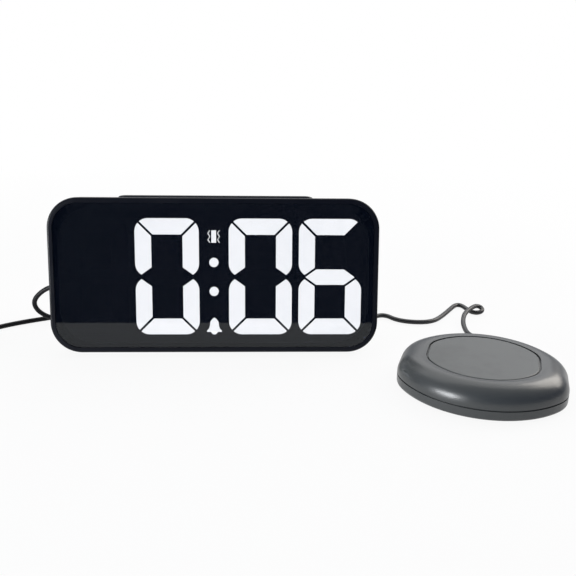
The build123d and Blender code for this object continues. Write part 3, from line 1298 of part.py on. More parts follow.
def shaker_plug():
    """Straight plug: pin in the jack, round body and a tapered cable sleeve."""
    body_end = SHAKER_PLUG_LENGTH
    end = body_end + SHAKER_SLEEVE_LENGTH
    profile = [
        (0, SHAKER_PIN_FRONT - SHAKER_PLUG_START),
        (SHAKER_PIN_RADIUS - SHAKER_PLUG_ROUND, SHAKER_PIN_FRONT - SHAKER_PLUG_START),
        (SHAKER_PIN_RADIUS, SHAKER_PIN_FRONT - SHAKER_PLUG_START + SHAKER_PLUG_ROUND),
        (SHAKER_PIN_RADIUS, 0),
        (SHAKER_PLUG_RADIUS, 0),
        (SHAKER_PLUG_RADIUS, body_end - SHAKER_PLUG_ROUND),
        (SHAKER_PLUG_RADIUS - SHAKER_PLUG_ROUND, body_end),
        (SHAKER_SLEEVE_RADIUS, body_end),
        (SHAKER_SLEEVE_TIP_RADIUS, end),
        (0, end),
    ]
    return turned_profile(profile, SHAKER_PLUG_START, SHAKER_JACK_PLACE)


def usb_end(width, height, front_y, length):
    """Box along the cord's mains end, from its end nearest the cord."""
    level = POWER_TAIL_ROUTE[-1][2]
    return Pos(USB_X, front_y - length / 2, level) * Box(width, length, height)


def usb_plug_body():
    """Moulded grip of the mains end plug, with its sleeve and the tongue inside the shell."""
    level = POWER_TAIL_ROUTE[-1][2]
    grip_y = USB_BODY_END_Y - USB_SLEEVE_LENGTH
    grip = usb_end(USB_BODY_WIDTH, USB_BODY_HEIGHT, grip_y, USB_BODY_LENGTH)
    grip = fillet(grip.edges().filter_by(Axis.Y), USB_BODY_CORNER)
    grip = chamfer(grip.faces().sort_by(Axis.Y)[-1].edges(), USB_BODY_CORNER / 2)
    sleeve = [(0, 0), (CORD_RADIUS + GAP, 0), (USB_SLEEVE_RADIUS, -USB_SLEEVE_LENGTH), (0, -USB_SLEEVE_LENGTH)]
    cone = revolve(Polygon(*sleeve, align=None), Axis.Y)
    tongue_width = USB_SHELL_WIDTH - 2 * USB_SHELL_WALL - 2 * GAP
    shell_y = grip_y - USB_BODY_LENGTH
    tongue = usb_end(tongue_width, USB_TONGUE_HEIGHT, shell_y, USB_SHELL_LENGTH - OVERRUN)
    drop = (USB_SHELL_HEIGHT - USB_TONGUE_HEIGHT) / 2 - USB_SHELL_WALL - GAP
    body = grip + Pos(USB_X, USB_BODY_END_Y, level) * cone + Pos(0, 0, -drop) * tongue
    sleeve_slot = usb_end(USB_SHELL_WIDTH + 2 * GAP, USB_SHELL_HEIGHT + 2 * GAP, shell_y + USB_SHELL_INSIDE, USB_SHELL_INSIDE)
    core = usb_end(tongue_width, USB_SHELL_HEIGHT - 2 * USB_SHELL_WALL - 2 * GAP, shell_y + USB_SHELL_INSIDE, USB_SHELL_INSIDE)
    return body - (sleeve_slot - core)


def usb_plug_shell():
    """Folded metal shell with two latch windows on top."""
    shell_y = USB_BODY_END_Y - USB_SLEEVE_LENGTH - USB_BODY_LENGTH + USB_SHELL_INSIDE
    length = USB_SHELL_LENGTH + USB_SHELL_INSIDE - GAP
    shell = usb_end(USB_SHELL_WIDTH, USB_SHELL_HEIGHT, shell_y - GAP, length)
    hollow_width = USB_SHELL_WIDTH - 2 * USB_SHELL_WALL
    shell -= usb_end(hollow_width, USB_SHELL_HEIGHT - 2 * USB_SHELL_WALL, shell_y, length + OVERRUN)
    level = POWER_TAIL_ROUTE[-1][2] + USB_SHELL_HEIGHT / 2
    for side in (-1, 1):
        window = Box(USB_LATCH, USB_LATCH, USB_SHELL_WALL + OVERRUN)
        shell -= Pos(USB_X + side * USB_LATCH * OVERRUN, shell_y - length + USB_LATCH_PLACE, level) * window
    return shell


def build_clock():
    """Save every piece made in the clock's own leaning frame."""
    makers = [
        front_bezel,
        display_lens,
        reflector,
        led_chips,
        display_board,
        main_board,
        housing_screws,
        speaker,
        snooze_bar,
        snooze_board,
        snooze_switches,
        rear_switches,
        alarm_mode_slider,
        slide_switch_body,
        dimmer_wheel,
        dimmer_potentiometer,
        battery_door,
        battery_door_screw,
        backup_cell,
        cell_clip,
        power_jack,
        shaker_jack,
        usb_port,
        power_plug,
        shaker_plug,
    ]
    for maker in makers:
        save(SEAT * maker(), maker.__name__)
    for name in LIT:
        save(SEAT * diffuser(LIT[name]), name)
    for name, place in zip(BUTTON_NAMES, BUTTON_PLACES):
        save(SEAT * rear_button(place), name)
    save(rear_housing(), "rear_housing")
    save(non_slip_mat(), "non_slip_mat")


def build_shaker():
    """Save every piece made in the shaker's own frame."""
    makers = [
        shaker_top_cover,
        shaker_top_panel,
        shaker_bottom_cover,
        shaker_feet,
        shaker_screws,
        shaker_motor,
        motor_shaft,
        eccentric_weight,
        motor_clamp,
        shaker_grommet,
    ]
    for maker in makers:
        save(SHAKER_SEAT * maker(), maker.__name__)


def build_cords():
    """Save the cords, their wound hanks and the mains end plug."""
    save(cord_run(POWER_CORD_ROUTE), "power_cord_run")
    save(cord_run(POWER_TAIL_ROUTE), "power_cord_tail")
    save(cord_run(SHAKER_INNER_ROUTE), "shaker_cord_inner_run")
    save(cord_run(SHAKER_OUTER_ROUTE), "shaker_cord_outer_run")
    save(coil(POWER_COIL_MIDDLE, 0, 1, 1, POWER_COIL_HALF_TURNS), "power_cord_coil")
    save(coil(SHAKER_COIL_MIDDLE, -1, 0, -1, SHAKER_COIL_HALF_TURNS), "shaker_cord_coil")
    save(usb_plug_body(), "usb_plug_body")
    save(usb_plug_shell(), "usb_plug_shell")


os.makedirs("parts", exist_ok=True)
build_clock()
build_shaker()
build_cords()
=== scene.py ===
import math
import bpy
from mathutils import Vector, Matrix


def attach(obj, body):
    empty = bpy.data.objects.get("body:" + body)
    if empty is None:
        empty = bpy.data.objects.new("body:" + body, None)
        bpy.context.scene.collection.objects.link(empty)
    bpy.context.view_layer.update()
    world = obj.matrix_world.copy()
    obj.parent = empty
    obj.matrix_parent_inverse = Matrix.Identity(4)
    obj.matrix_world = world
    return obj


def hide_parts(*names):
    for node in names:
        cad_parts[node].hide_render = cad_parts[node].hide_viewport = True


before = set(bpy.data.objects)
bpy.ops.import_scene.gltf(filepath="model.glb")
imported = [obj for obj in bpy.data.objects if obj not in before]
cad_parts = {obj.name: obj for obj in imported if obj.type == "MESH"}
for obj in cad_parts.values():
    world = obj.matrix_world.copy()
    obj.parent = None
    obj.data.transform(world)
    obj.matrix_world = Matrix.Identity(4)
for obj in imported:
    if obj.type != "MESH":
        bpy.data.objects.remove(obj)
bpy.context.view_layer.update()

# Camera
# The viewpoint of the photograph: low, close and nearly straight on, with a slight turn to the right.
# Its place, angles and focal length were fitted to the clock's outline.
photo_width = 576
focal_pixels = 700.45
film_width = 36
view_place = (0.0253, -0.36239, 0.15107)
view_yaw, view_pitch, view_roll = math.radians(2.135), math.radians(18.12), math.radians(-0.737)
view_ahead = Vector((
    math.sin(view_yaw) * math.cos(view_pitch), math.cos(view_yaw) * math.cos(view_pitch), -math.sin(view_pitch),
))
view_side = Vector((math.cos(view_yaw), -math.sin(view_yaw), 0))
view_down = view_ahead.cross(view_side)
right = view_side * math.cos(view_roll) + view_down * math.sin(view_roll)
down = view_down * math.cos(view_roll) - view_side * math.sin(view_roll)
camera_data = bpy.data.cameras.new("camera")
camera_data.sensor_width = film_width
camera_data.sensor_fit = "HORIZONTAL"
camera_data.lens = focal_pixels / photo_width * film_width
camera_data.clip_start = 0.01
camera = bpy.data.objects.new("camera", camera_data)
bpy.context.scene.collection.objects.link(camera)
turn = Matrix((right, -down, -view_ahead)).transposed().to_4x4()
camera.matrix_world = Matrix.Translation(view_place) @ turn
bpy.context.scene.camera = camera
bpy.context.scene.view_settings.view_transform = "Standard"


# Cords
# Thin round PVC-jacketed leads, 2.8 mm thick, matt black with a soft sheen and faint scuffs.
# Each is one smooth line from its plug to its far end, with the unused length wound up out of view.
cord_pitch = 3.76 / 1000
cord_radius = 1.4 / 1000
coil_radius = 19.5 / 1000
coil_steps = [-1, -1, -1, 0, 1, 1, 1, 0, -1, -1, -1, 0, 1, 1, 1]
points_per_half_turn = 12
corner_cut = 1.002


def millimetres(points):
    """Points given in millimetres, as metres."""
    return [Vector(p) / 1000 for p in points]


def wound(middle, start, sense, half_turns):
    """Points of a coil: half circles that step in, climb, step out and climb again."""
    radius, level, side = coil_radius, cord_radius, 1
    middle, start = Vector((*middle, 0)) / 1000, Vector((*start, 0))
    points = []
    place = middle + start * radius + Vector((0, 0, level))
    for step in coil_steps[:half_turns]:
        radius += step * cord_pitch / 2
        level += 0 if step else cord_pitch
        side = -side
        goal = middle + start * radius * side + Vector((0, 0, level))
        hub, arm = (place + goal) / 2, (place - goal) / 2
        ahead = Vector((-arm.y, arm.x, 0)).normalized() * arm.length * sense
        for k in range(points_per_half_turn):
            angle = math.pi * k / points_per_half_turn
            points.append(hub + (arm * math.cos(angle) + ahead * math.sin(angle)) * corner_cut)
        place = goal
    return points + [place]


def lead(name, points):
    """A cord as one smooth open line with a round section."""
    curve = bpy.data.curves.new(name, "CURVE")
    curve.dimensions = "3D"
    spline = curve.splines.new("NURBS")
    spline.points.add(len(points) - 1)
    for knot, point in zip(spline.points, points):
        knot.co = (*point, 1)
        knot.radius = cord_radius
    spline.order_u = 3
    spline.use_endpoint_u = True
    spline.resolution_u = 6
    curve.bevel_depth = 1
    curve.bevel_resolution = 3
    curve.use_fill_caps = True
    cord = bpy.data.objects.new(name, curve)
    bpy.context.scene.collection.objects.link(cord)
    return cord


power_out = millimetres([
    (-77.5, 26.29, 25.08), (-89, 26.29, 25.08), (-98.8, 28.6, 23.6), (-106, 29.8, 18.6), (-109.4, 30.3, 13.6),
    (-107.7, 30.3, 8.4), (-102, 30.5, 4.2), (-93, 31.5, 2.0), (-81, 33, 1.4), (-70, 36, 1.4), (-63.5, 45.5, 1.4),
    (-70, 55, 1.4), (-81, 52, 1.4), (-91.5, 44, 1.4), (-102.6, 36.6, 1.4), (-113, 31.4, 1.4), (-122.6, 25.4, 1.4),
    (-130, 19.2, 1.4), (-138, 13.5, 1.4), (-147.2, 13.5, 1.4),
])
power_end = millimetres([
    (-152.8, 11.62, 12.68), (-164.5, 11.62, 12.68), (-175.5, 4, 8), (-180, -7.5, 4.2), (-180, -18, 3.75),
    (-180, -30.5, 3.75),
])
power_cord = lead("power_cord", power_out + wound((-150, -6), (0, 1), 1, 14) + power_end)
shaker_out = millimetres([
    (28, 43.8, 8.79), (28, 51.22, 7.48), (28.6, 60.5, 3.6), (30.6, 71, 1.4), (32, 81.5, 1.4), (32, 92.2, 1.4),
])
shaker_end = millimetres([
    (71, 92.2, 12.68), (71, 84.5, 12.68), (72.4, 73, 7.4), (74.8, 61.5, 2.6), (77.5, 49.5, 1.4),
    (83, 38.5, 1.4), (91, 36, 1.4), (97.2, 41.2, 1.4), (101.8, 39.8, 1.4), (105, 34.2, 1.4),
    (110.5, 30.4, 1.4), (117.5, 28.8, 1.4), (124, 29.2, 1.4), (129.4, 32, 1.4), (134, 37.4, 1.4),
    (139.6, 45.4, 1.4), (145, 53.8, 1.4), (148.0, 58.2, 1.4), (150.4, 60.1, 1.4), (152.7, 59.0, 1.4),
    (153.9, 55.4, 1.4), (154.7, 50.4, 1.4), (156.0, 46.8, 1.4), (158.5, 44.9, 1.5), (161.4, 45.3, 1.9),
    (163.0, 47.3, 2.6), (162.8, 49.3, 3.4), (161.0, 50.1, 4.1), (158.9, 48.9, 4.6), (156.4, 46.2, 4.9),
    (151.9, 40.6, 4.95), (147.9, 35.2, 4.1), (145.2, 27.6, 2.2), (143.8, 18.6, 1.5), (143.1, 8.6, 1.8),
    (143.6, -1.4, 4.3), (145.31, -10.67, 6.3), (143.7, -15.1, 6.3),
])
shaker_cord = lead("shaker_cord", shaker_out + wound((51.5, 95), (-1, 0), -1, 15) + shaker_end)
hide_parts("power_cord_run", "power_cord_coil", "power_cord_tail")
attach(power_cord, "clock")
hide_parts("shaker_cord_inner_run", "shaker_cord_coil", "shaker_cord_outer_run")
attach(shaker_cord, "clock")


def join(tree, source, output, target, socket):
    """Runs a link between two nodes of a material."""
    tree.links.new(source.outputs[output], target.inputs[socket])


def new_group(name, inputs, outputs):
    """An empty shader group with named number sockets."""
    group = bpy.data.node_groups.new(name, "ShaderNodeTree")
    for label, value in inputs:
        socket = group.interface.new_socket(label, in_out="INPUT", socket_type="NodeSocketFloat")
        socket.default_value = value
    for label in outputs:
        group.interface.new_socket(label, in_out="OUTPUT", socket_type="NodeSocketFloat")
    return group, group.nodes.new("NodeGroupInput"), group.nodes.new("NodeGroupOutput")


def noise_at(tree, coarseness, detail, roughness, place):
    """Noise on the piece's own coordinates, its scale read from a node or given as a number."""
    noise = tree.nodes.new("ShaderNodeTexNoise")
    noise.inputs["Detail"].default_value = detail
    noise.inputs["Roughness"].default_value = roughness
    join(tree, place, "Object", noise, "Vector")
    if isinstance(coarseness, tuple):
        join(tree, *coarseness, noise, "Scale")
    else:
        noise.inputs["Scale"].default_value = coarseness
    return noise


grain_group, grain_in, grain_out = new_group("moulded_grain", [("Grains per metre", 2200)], ["Height", "Mottle"])
grain_place = grain_group.nodes.new("ShaderNodeTexCoord")
grain_fine = noise_at(grain_group, (grain_in, "Grains per metre"), 3, 0.55, grain_place)
grain_wide = noise_at(grain_group, 38, 4, 0.6, grain_place)
join(grain_group, grain_fine, "Fac", grain_out, "Height")
join(grain_group, grain_wide, "Fac", grain_out, "Mottle")

scuff_group, scuff_in, scuff_out = new_group("handling_scuffs", [("Spread", 26)], ["Mask"])
scuff_place = scuff_group.nodes.new("ShaderNodeTexCoord")
scuff_patch = noise_at(scuff_group, (scuff_in, "Spread"), 5, 0.7, scuff_place)
scuff_edge = scuff_group.nodes.new("ShaderNodeMapRange")
scuff_edge.inputs["From Min"].default_value = 0.5
scuff_edge.inputs["From Max"].default_value = 0.72
join(scuff_group, scuff_patch, "Fac", scuff_edge, "Value")
join(scuff_group, scuff_edge, "Result", scuff_out, "Mask")


def finish_of(name, dark, light, roughness, grain, bump, bump_depth=0.00004, specular=0.5, metal=0):
    """A moulded or metal finish: two close tones, uneven sheen, fine grain and faint scuffs."""
    material = bpy.data.materials.new(name)
    material.use_nodes = True
    tree = material.node_tree
    shader = tree.nodes["Principled BSDF"]
    shader.inputs["Specular IOR Level"].default_value = specular
    shader.inputs["Metallic"].default_value = metal
    texture = tree.nodes.new("ShaderNodeGroup")
    texture.node_tree = grain_group
    texture.inputs["Grains per metre"].default_value = grain
    handled = tree.nodes.new("ShaderNodeGroup")
    handled.node_tree = scuff_group
    handled.inputs["Spread"].default_value = 26
    tone = tree.nodes.new("ShaderNodeMix")
    tone.data_type = "RGBA"
    tone.inputs[6].default_value = (*dark, 1)
    tone.inputs[7].default_value = (*light, 1)
    join(tree, texture, "Mottle", tone, 0)
    tree.links.new(tone.outputs[2], shader.inputs["Base Color"])
    sheen = tree.nodes.new("ShaderNodeMapRange")
    sheen.inputs["To Min"].default_value = roughness[0]
    sheen.inputs["To Max"].default_value = roughness[1]
    join(tree, handled, "Mask", sheen, "Value")
    join(tree, sheen, "Result", shader, "Roughness")
    relief = tree.nodes.new("ShaderNodeBump")
    relief.inputs["Strength"].default_value = bump
    relief.inputs["Distance"].default_value = bump_depth
    join(tree, texture, "Height", relief, "Height")
    join(tree, relief, "Normal", shader, "Normal")
    return material


def dress(material, *names):
    """Gives CAD pieces their finish."""
    for name in names:
        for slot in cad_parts[name].material_slots:
            slot.material = material


cord_jacket = finish_of(
    "cord_jacket", (0.005, 0.005, 0.006), (0.009, 0.009, 0.010), (0.4, 0.55), 1500, 0.25, specular=0.15,
)
power_cord.data.materials.append(cord_jacket)
soft_jacket = finish_of("soft_jacket", (0.009, 0.009, 0.009), (0.018, 0.018, 0.018), (0.42, 0.58), 1500, 0.25)
shaker_cord.data.materials.append(soft_jacket)


# Floor and light
# A white table top under a large soft lamp set back over the clock, with small lamps at the left front and the
# right. The room is dark low down and in front of the clock, so that the tinted window looks black.
floor_size = 5.2
floor_back = 1.5
floor_gap = 0.3 / 1000
bpy.ops.object.select_all(action="DESELECT")
bpy.ops.mesh.primitive_plane_add(size=floor_size, location=(0, floor_back, -floor_gap))
floor = bpy.context.object
floor.name = "floor"
bpy.ops.object.transform_apply(location=True, rotation=True, scale=True)
floor_paint = bpy.data.materials.new("floor_paint")
floor_paint.use_nodes = True
floor_tree = floor_paint.node_tree
floor_tree.nodes.remove(floor_tree.nodes["Principled BSDF"])
floor_matt = floor_tree.nodes.new("ShaderNodeBsdfDiffuse")
floor_matt.inputs["Color"].default_value = (0.55, 0.55, 0.55, 1)
floor_glow = floor_tree.nodes.new("ShaderNodeEmission")
floor_rays = floor_tree.nodes.new("ShaderNodeLightPath")
floor_place = floor_tree.nodes.new("ShaderNodeTexCoord")
floor_reach = floor_tree.nodes.new("ShaderNodeVectorMath")
floor_reach.operation = "LENGTH"
join(floor_tree, floor_place, "Object", floor_reach, "Vector")
floor_fade = floor_tree.nodes.new("ShaderNodeMapRange")
floor_fade.inputs["From Min"].default_value = 0.25
floor_fade.inputs["From Max"].default_value = 0.7
floor_fade.inputs["To Min"].default_value = 0.92
floor_fade.inputs["To Max"].default_value = 1
join(floor_tree, floor_reach, "Value", floor_fade, "Value")
floor_seen = floor_tree.nodes.new("ShaderNodeMath")
floor_seen.operation = "MULTIPLY"
join(floor_tree, floor_fade, "Result", floor_seen, 1)
floor_mix = floor_tree.nodes.new("ShaderNodeMixShader")
floor_shine = floor_tree.nodes.new("ShaderNodeMath")
floor_shine.operation = "ADD"
join(floor_tree, floor_rays, "Is Glossy Ray", floor_shine, 0)
join(floor_tree, floor_rays, "Is Camera Ray", floor_shine, 1)
join(floor_tree, floor_shine, "Value", floor_seen, 0)
join(floor_tree, floor_seen, "Value", floor_mix, "Fac")
floor_tree.links.new(floor_matt.outputs["BSDF"], floor_mix.inputs[1])
floor_tree.links.new(floor_glow.outputs["Emission"], floor_mix.inputs[2])
join(floor_tree, floor_mix, "Shader", floor_tree.nodes["Material Output"], "Surface")
floor.data.materials.append(floor_paint)

room = bpy.data.worlds.new("room")
bpy.context.scene.world = room
room.use_nodes = True
room_tree = room.node_tree
room_rays = room_tree.nodes.new("ShaderNodeLightPath")
room_place = room_tree.nodes.new("ShaderNodeTexCoord")
room_split = room_tree.nodes.new("ShaderNodeSeparateXYZ")
join(room_tree, room_place, "Generated", room_split, "Vector")
room_height = room_tree.nodes.new("ShaderNodeMapRange")
room_height.inputs["From Min"].default_value = 0.15
room_height.inputs["From Max"].default_value = 1.3
room_back = room_tree.nodes.new("ShaderNodeMath")
room_back.operation = "MULTIPLY_ADD"
room_back.inputs[1].default_value = 0.5
join(room_tree, room_split, "Y", room_back, 0)
join(room_tree, room_split, "Z", room_back, 2)
join(room_tree, room_back, "Value", room_height, "Value")
room_seen = room_tree.nodes.new("ShaderNodeMath")
room_seen.operation = "MAXIMUM"
join(room_tree, room_rays, "Is Camera Ray", room_seen, 0)
join(room_tree, room_rays, "Is Transmission Ray", room_seen, 1)
room_tone = room_tree.nodes.new("ShaderNodeMix")
room_tone.data_type = "RGBA"
room_tone.inputs[6].default_value = (0.03, 0.06, 0.15, 1)
room_tone.inputs[7].default_value = (0.75, 0.75, 0.75, 1)
join(room_tree, room_height, "Result", room_tone, 0)
room_shown = room_tree.nodes.new("ShaderNodeMix")
room_shown.data_type = "RGBA"
join(room_tree, room_seen, "Value", room_shown, 0)
room_tree.links.new(room_tone.outputs[2], room_shown.inputs[6])
room_shown.inputs[7].default_value = (1, 1, 1, 1)
room_light = room_tree.nodes["Background"]
room_tree.links.new(room_shown.outputs[2], room_light.inputs["Color"])


def softbox(name, place, aim, width, height, power, colour):
    """A soft lamp with a rectangular front, turned towards a point."""
    lamp = bpy.data.lights.new(name, "AREA")
    lamp.shape = "RECTANGLE"
    lamp.size = width
    lamp.size_y = height
    lamp.energy = power
    lamp.color = colour
    holder = bpy.data.objects.new(name, lamp)
    bpy.context.scene.collection.objects.link(holder)
    holder.location = place
    holder.rotation_euler = (Vector(aim) - Vector(place)).to_track_quat("-Z", "Y").to_euler()


softbox("overhead_lamp", (0.0, 0.75, 1.2), (0, 0, 0), 2.4, 2.0, 22, (1, 1, 1))
softbox("front_left_lamp", (-0.78, -0.66, 0.17), (0.1, 0, 0.01), 0.46, 0.24, 13, (0.96, 0.98, 1))
softbox("right_lamp", (0.75, 0.25, 0.5), (0.1, -0.05, 0), 0.5, 0.5, 5, (1, 0.95, 0.88))


# Plugs and sleeves of the leads
# Soft PVC moulded over the cord's ends, matt black and slightly dusty; the mains end has a bright plated shell.
# The sleeves taper to the cord, so that it bends gently where it leaves the plug.
plug_skin = finish_of("plug_moulding", (0.011, 0.011, 0.012), (0.024, 0.024, 0.026), (0.42, 0.6), 1800, 0.3)
dress(plug_skin, "power_plug", "usb_plug_body", "shaker_plug")
plated_shell = finish_of("bright_plating", (0.6, 0.6, 0.61), (0.74, 0.74, 0.75), (0.12, 0.3), 900, 0.06, metal=1)
dress(plated_shell, "usb_plug_shell", "usb_port", "backup_cell")


# Front bezel
# Injection-moulded frame in black ABS with a fine satin texture, slightly worn on the corners.
# It carries the window on an inner ledge and takes the housing's four screws.
bezel_skin = finish_of(
    "bezel_moulding", (0.003, 0.0036, 0.0060), (0.005, 0.006, 0.0095), (0.28, 0.42), 2600, 0.2, 0.00003, specular=0.13,
)
dress(bezel_skin, "front_bezel")


# Window
# Smoke-tinted acrylic sheet with a polished face, 1.5 mm thick, dropped into the bezel's rim.
# It looks black until a stroke behind it is lit.
window_tint = bpy.data.materials.new("window_tint")
window_tint.use_nodes = True
window_shader = window_tint.node_tree.nodes["Principled BSDF"]
window_shader.inputs["Transmission Weight"].default_value = 1
window_shader.inputs["IOR"].default_value = 1.44
window_shader.inputs["Specular Tint"].default_value = (0.9, 0.95, 1, 1)
window_tree = window_tint.node_tree
window_mark = window_tree.nodes.new("ShaderNodeGroup")
window_mark.node_tree = scuff_group
window_mark.inputs["Spread"].default_value = 11
window_haze = window_tree.nodes.new("ShaderNodeMapRange")
window_haze.inputs["To Min"].default_value = 0.015
window_haze.inputs["To Max"].default_value = 0.05
join(window_tree, window_mark, "Mask", window_haze, "Value")
join(window_tree, window_haze, "Result", window_shader, "Roughness")
window_smoke = window_tree.nodes.new("ShaderNodeMix")
window_smoke.data_type = "RGBA"
window_smoke.inputs[6].default_value = (0.14, 0.15, 0.18, 1)
window_smoke.inputs[7].default_value = (0.13, 0.14, 0.17, 1)
join(window_tree, window_mark, "Mask", window_smoke, 0)
window_tree.links.new(window_smoke.outputs[2], window_shader.inputs["Base Color"])
dress(window_tint, "display_lens")


# Display
# Black reflector block with a light well behind every stroke, and milky tiles that spread the light.
# The lit strokes glow an even cold white; the others are painted as dark as the mask, a painted shade, though the
# milky tile itself is light.
mask_skin = finish_of(
    "mask_black", (0.002, 0.003, 0.005), (0.004, 0.005, 0.008), (0.6, 0.75), 2400, 0.15, specular=0.05,
)
dress(mask_skin, "reflector")


def tile_of(name, shade, glow):
    """A milky tile: slightly cloudy, and lit from behind where it glows."""
    material = finish_of(name, *shade, (0.5, 0.62), 2000, 0.1, specular=0.1)
    tree = material.node_tree
    shader = tree.nodes["Principled BSDF"]
    cloud = noise_at(tree, 160, 2, 0.5, tree.nodes.new("ShaderNodeTexCoord"))
    level = tree.nodes.new("ShaderNodeMix")
    level.data_type = "RGBA"
    level.inputs[6].default_value = (1.01, 0.965, 0.83, 1)
    level.inputs[7].default_value = (1.08, 1.02, 0.88, 1)
    join(tree, cloud, "Fac", level, 0)
    tree.links.new(level.outputs[2], shader.inputs["Emission Color"])
    shader.inputs["Emission Strength"].default_value = glow
    return material


lit_tile = tile_of("lit_tile", ((0.7, 0.72, 0.75), (0.78, 0.79, 0.8)), 6.2)
# Unlit tiles: the milky tile with painted shade, its colour set as dark as the mask, in place of the darkness behind
# the tinted window.
unlit_tile_painted_shade = tile_of("unlit_tile_painted_shade", ((0.003, 0.004, 0.006), (0.005, 0.006, 0.009)), 0.0)
dress(lit_tile, "hour_ones_digit", "minute_tens_digit", "minute_ones_digit", "colon_dots", "vibrate_icon", "bell_icon")
dress(unlit_tile_painted_shade, "hour_tens_digit", "unlit_segments")
board_skin = finish_of("solder_mask", (0.01, 0.07, 0.035), (0.016, 0.1, 0.05), (0.22, 0.4), 1200, 0.15)
chip_skin = finish_of("chip_resin", (0.7, 0.6, 0.22), (0.8, 0.7, 0.3), (0.2, 0.35), 1500, 0.1)
dress(board_skin, "display_board", "main_board", "snooze_board")
dress(chip_skin, "led_chips")


# Rear housing
# Tapering black ABS shell with a spark-eroded texture, moulded with the speaker grille, the key slots,
# the socket openings, the cell bay and the flat foot that makes the face lean back.
case_skin = finish_of(
    "case_moulding", (0.013, 0.013, 0.014), (0.022, 0.022, 0.024), (0.46, 0.62), 1700, 0.45, 0.00006,
)
dress(case_skin, "rear_housing", "battery_door")
mat_skin = finish_of(
    "mat_rubber", (0.014, 0.014, 0.014), (0.028, 0.027, 0.026), (0.7, 0.9), 1300, 0.6, 0.00008, specular=0.3,
)
dress(mat_skin, "non_slip_mat", "shaker_feet", "shaker_grommet")
screw_skin = finish_of("zinc_plate", (0.42, 0.42, 0.44), (0.56, 0.56, 0.58), (0.25, 0.42), 1400, 0.15, metal=1)
dress(screw_skin, "housing_screws", "battery_door_screw", "shaker_screws", "motor_shaft", "cell_clip", "motor_clamp")


# Keys, snooze bar and thumb pieces
# Satin black keys a shade lighter than the case, polished where fingers rest.
key_skin = finish_of("key_satin", (0.018, 0.018, 0.019), (0.03, 0.03, 0.032), (0.3, 0.5), 2400, 0.2)
dress(key_skin, "snooze_bar", "time_button", "alarm_one_button", "alarm_two_button", "plus_button", "minus_button")
dress(key_skin, "alarm_mode_slider", "dimmer_wheel")
switch_skin = finish_of("switch_moulding", (0.012, 0.012, 0.012), (0.02, 0.02, 0.02), (0.35, 0.5), 1500, 0.15)
dress(switch_skin, "snooze_switches", "rear_switches", "slide_switch_body", "dimmer_potentiometer")
dress(switch_skin, "power_jack", "shaker_jack", "speaker")


# Marks by the rear keys and sockets
# Small light grey symbols, pad-printed flat on the back: a clock face, bells for the two alarms, plus and minus,
# dots for the alarm modes, a sun by the dimmer, a wave by the shaker's socket and a ringed dot by the power socket.
lean = math.radians(10)
key_rise = 7.2
print_height = 0.06
ring_line = 0.18
ring_flatness = 0.17
face_up = Vector((0, math.sin(lean), math.cos(lean)))
face_back = Vector((0, math.cos(lean), -math.sin(lean)))
back_reach = max(corner.co.dot(face_back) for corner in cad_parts["rear_housing"].data.vertices)
mark_ink = finish_of("mark_ink", (0.5, 0.5, 0.49), (0.62, 0.62, 0.6), (0.5, 0.65), 2600, 0.2)


def middle_of(name):
    """A rear piece's middle, across the clock and up its face."""
    places = [corner.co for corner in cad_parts[name].data.vertices]
    across = [place.x for place in places]
    risen = [place.dot(face_up) for place in places]
    return (min(across) + max(across)) / 2, (min(risen) + max(risen)) / 2


def printed(name, beside, shift, shapes):
    """A symbol on the back, drawn in millimetres from bars, dots and rings, as seen from behind."""
    across, risen = middle_of(beside)
    middle = Vector((across, 0, 0)) + face_up * (risen + shift / 1000) + face_back * back_reach
    seat = Matrix((Vector((-1, 0, 0)), face_up, face_back)).transposed().to_4x4()
    bpy.ops.object.select_all(action="DESELECT")
    drawn = []
    for kind, x, y, *sizes in shapes:
        if kind == "bar":
            bpy.ops.mesh.primitive_cube_add(size=0.001)
            bpy.context.object.scale = (sizes[0], sizes[1], print_height)
            bpy.context.object.rotation_euler.z = math.radians(sizes[2])
        elif kind == "dot":
            bpy.ops.mesh.primitive_cylinder_add(vertices=24, radius=sizes[0] / 1000, depth=print_height / 1000)
        else:
            bpy.ops.mesh.primitive_torus_add(
                major_segments=32, minor_segments=6, major_radius=sizes[0] / 1000, minor_radius=ring_line / 1000
            )
            bpy.context.object.scale.z = ring_flatness
        bpy.context.object.location = (x / 1000, y / 1000, 0)
        drawn.append(bpy.context.object)
    bpy.ops.object.select_all(action="DESELECT")
    for shape in drawn:
        shape.select_set(True)
    bpy.context.view_layer.objects.active = drawn[0]
    bpy.ops.object.transform_apply(location=True, rotation=True, scale=True)
    if len(drawn) > 1:
        bpy.ops.object.join()
    symbol = bpy.context.object
    symbol.name = name
    symbol.matrix_world = Matrix.Translation(middle) @ seat
    bpy.ops.object.transform_apply(location=True, rotation=True, scale=True)
    symbol.data.materials.append(mark_ink)
    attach(symbol, "clock")


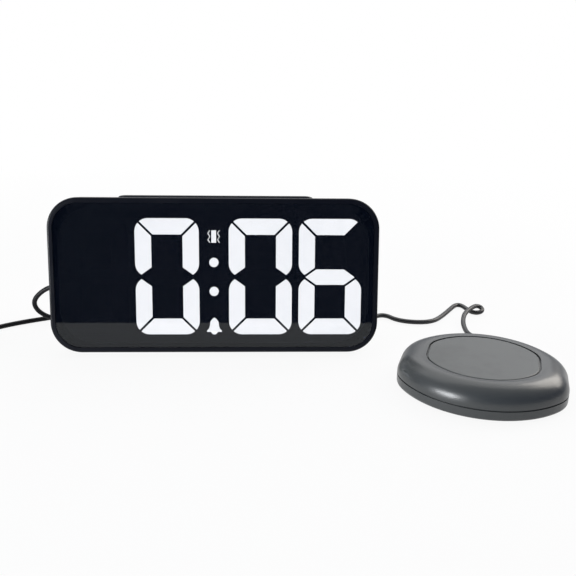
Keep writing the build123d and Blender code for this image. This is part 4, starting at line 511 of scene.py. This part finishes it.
bell = [("bar", 0, 0.1, 1.5, 2.0, 0), ("bar", 0, -1.0, 2.6, 0.4, 0), ("dot", 0, 1.1, 0.75), ("dot", 0, -1.5, 0.4)]
dial = [("ring", 0, 0, 1.8), ("bar", 0, 0.5, 0.3, 1.1, 0), ("bar", 0.4, 0, 0.9, 0.3, 0)]
ray_reach = 1.6
sun = [("dot", 0, 0, 0.8)] + [
    ("bar", ray_reach * math.cos(math.radians(turn)), ray_reach * math.sin(math.radians(turn)), 0.8, 0.3, turn)
    for turn in range(0, 360, 45)
]
wave = [("bar", x, y, 0.3, 1.1, 35 if k % 2 else -35) for x in (-1, 1) for k, y in enumerate((-1.2, -0.4, 0.4, 1.2))]
printed("time_mark", "time_button", key_rise, dial)
printed("alarm_one_mark", "alarm_one_button", key_rise, bell + [("dot", 2.1, -1.4, 0.3)])
printed("alarm_two_mark", "alarm_two_button", key_rise, bell + [("dot", 2.1, -1.4, 0.3), ("dot", 2.9, -1.4, 0.3)])
printed("plus_mark", "plus_button", key_rise, [("bar", 0, 0, 3, 0.5, 0), ("bar", 0, 0, 0.5, 3, 0)])
printed("minus_mark", "minus_button", key_rise, [("bar", 0, 0, 3, 0.5, 0)])
printed("mode_marks", "alarm_mode_slider", key_rise, [("dot", x, 0, 0.45) for x in (-3, 0, 3)])
printed("dimmer_mark", "dimmer_wheel", -6.5, sun)
printed("shaker_mark", "shaker_jack", 8, wave + [("bar", 0, 0, 0.8, 2.6, 0)])
printed("power_mark", "power_jack", 9.5, [("ring", 0, 0, 1.6), ("dot", 0, 0, 0.55)])


# Shaker
# Two soft-touch shells with a rounded shoulder, a parting line at a third of the height and a lighter pad on top.
# Inside, a small motor with an off-centre weight is strapped to the lower shell.
shell_skin = finish_of(
    "shaker_shell", (0.033, 0.036, 0.0365), (0.044, 0.0475, 0.0475), (0.3, 0.36), 2000, 0.2, 0.00004,
)
dress(shell_skin, "shaker_top_cover", "shaker_bottom_cover")
pad_skin = finish_of(
    "shaker_pad", (0.06, 0.064, 0.063), (0.077, 0.082, 0.08), (0.45, 0.58), 2000, 0.3, 0.00004, specular=0.38,
)
pad_skin.node_tree.nodes["Principled BSDF"].inputs["Sheen Weight"].default_value = 0.1
pad_skin.node_tree.nodes["Principled BSDF"].inputs["Sheen Roughness"].default_value = 0.4
dress(pad_skin, "shaker_top_panel")
motor_skin = finish_of("motor_can", (0.4, 0.4, 0.41), (0.5, 0.5, 0.51), (0.3, 0.45), 1200, 0.12, metal=1)
dress(motor_skin, "shaker_motor")
weight_skin = finish_of("sintered_weight", (0.14, 0.135, 0.13), (0.22, 0.21, 0.2), (0.5, 0.7), 1600, 0.5, metal=0.9)
dress(weight_skin, "eccentric_weight")
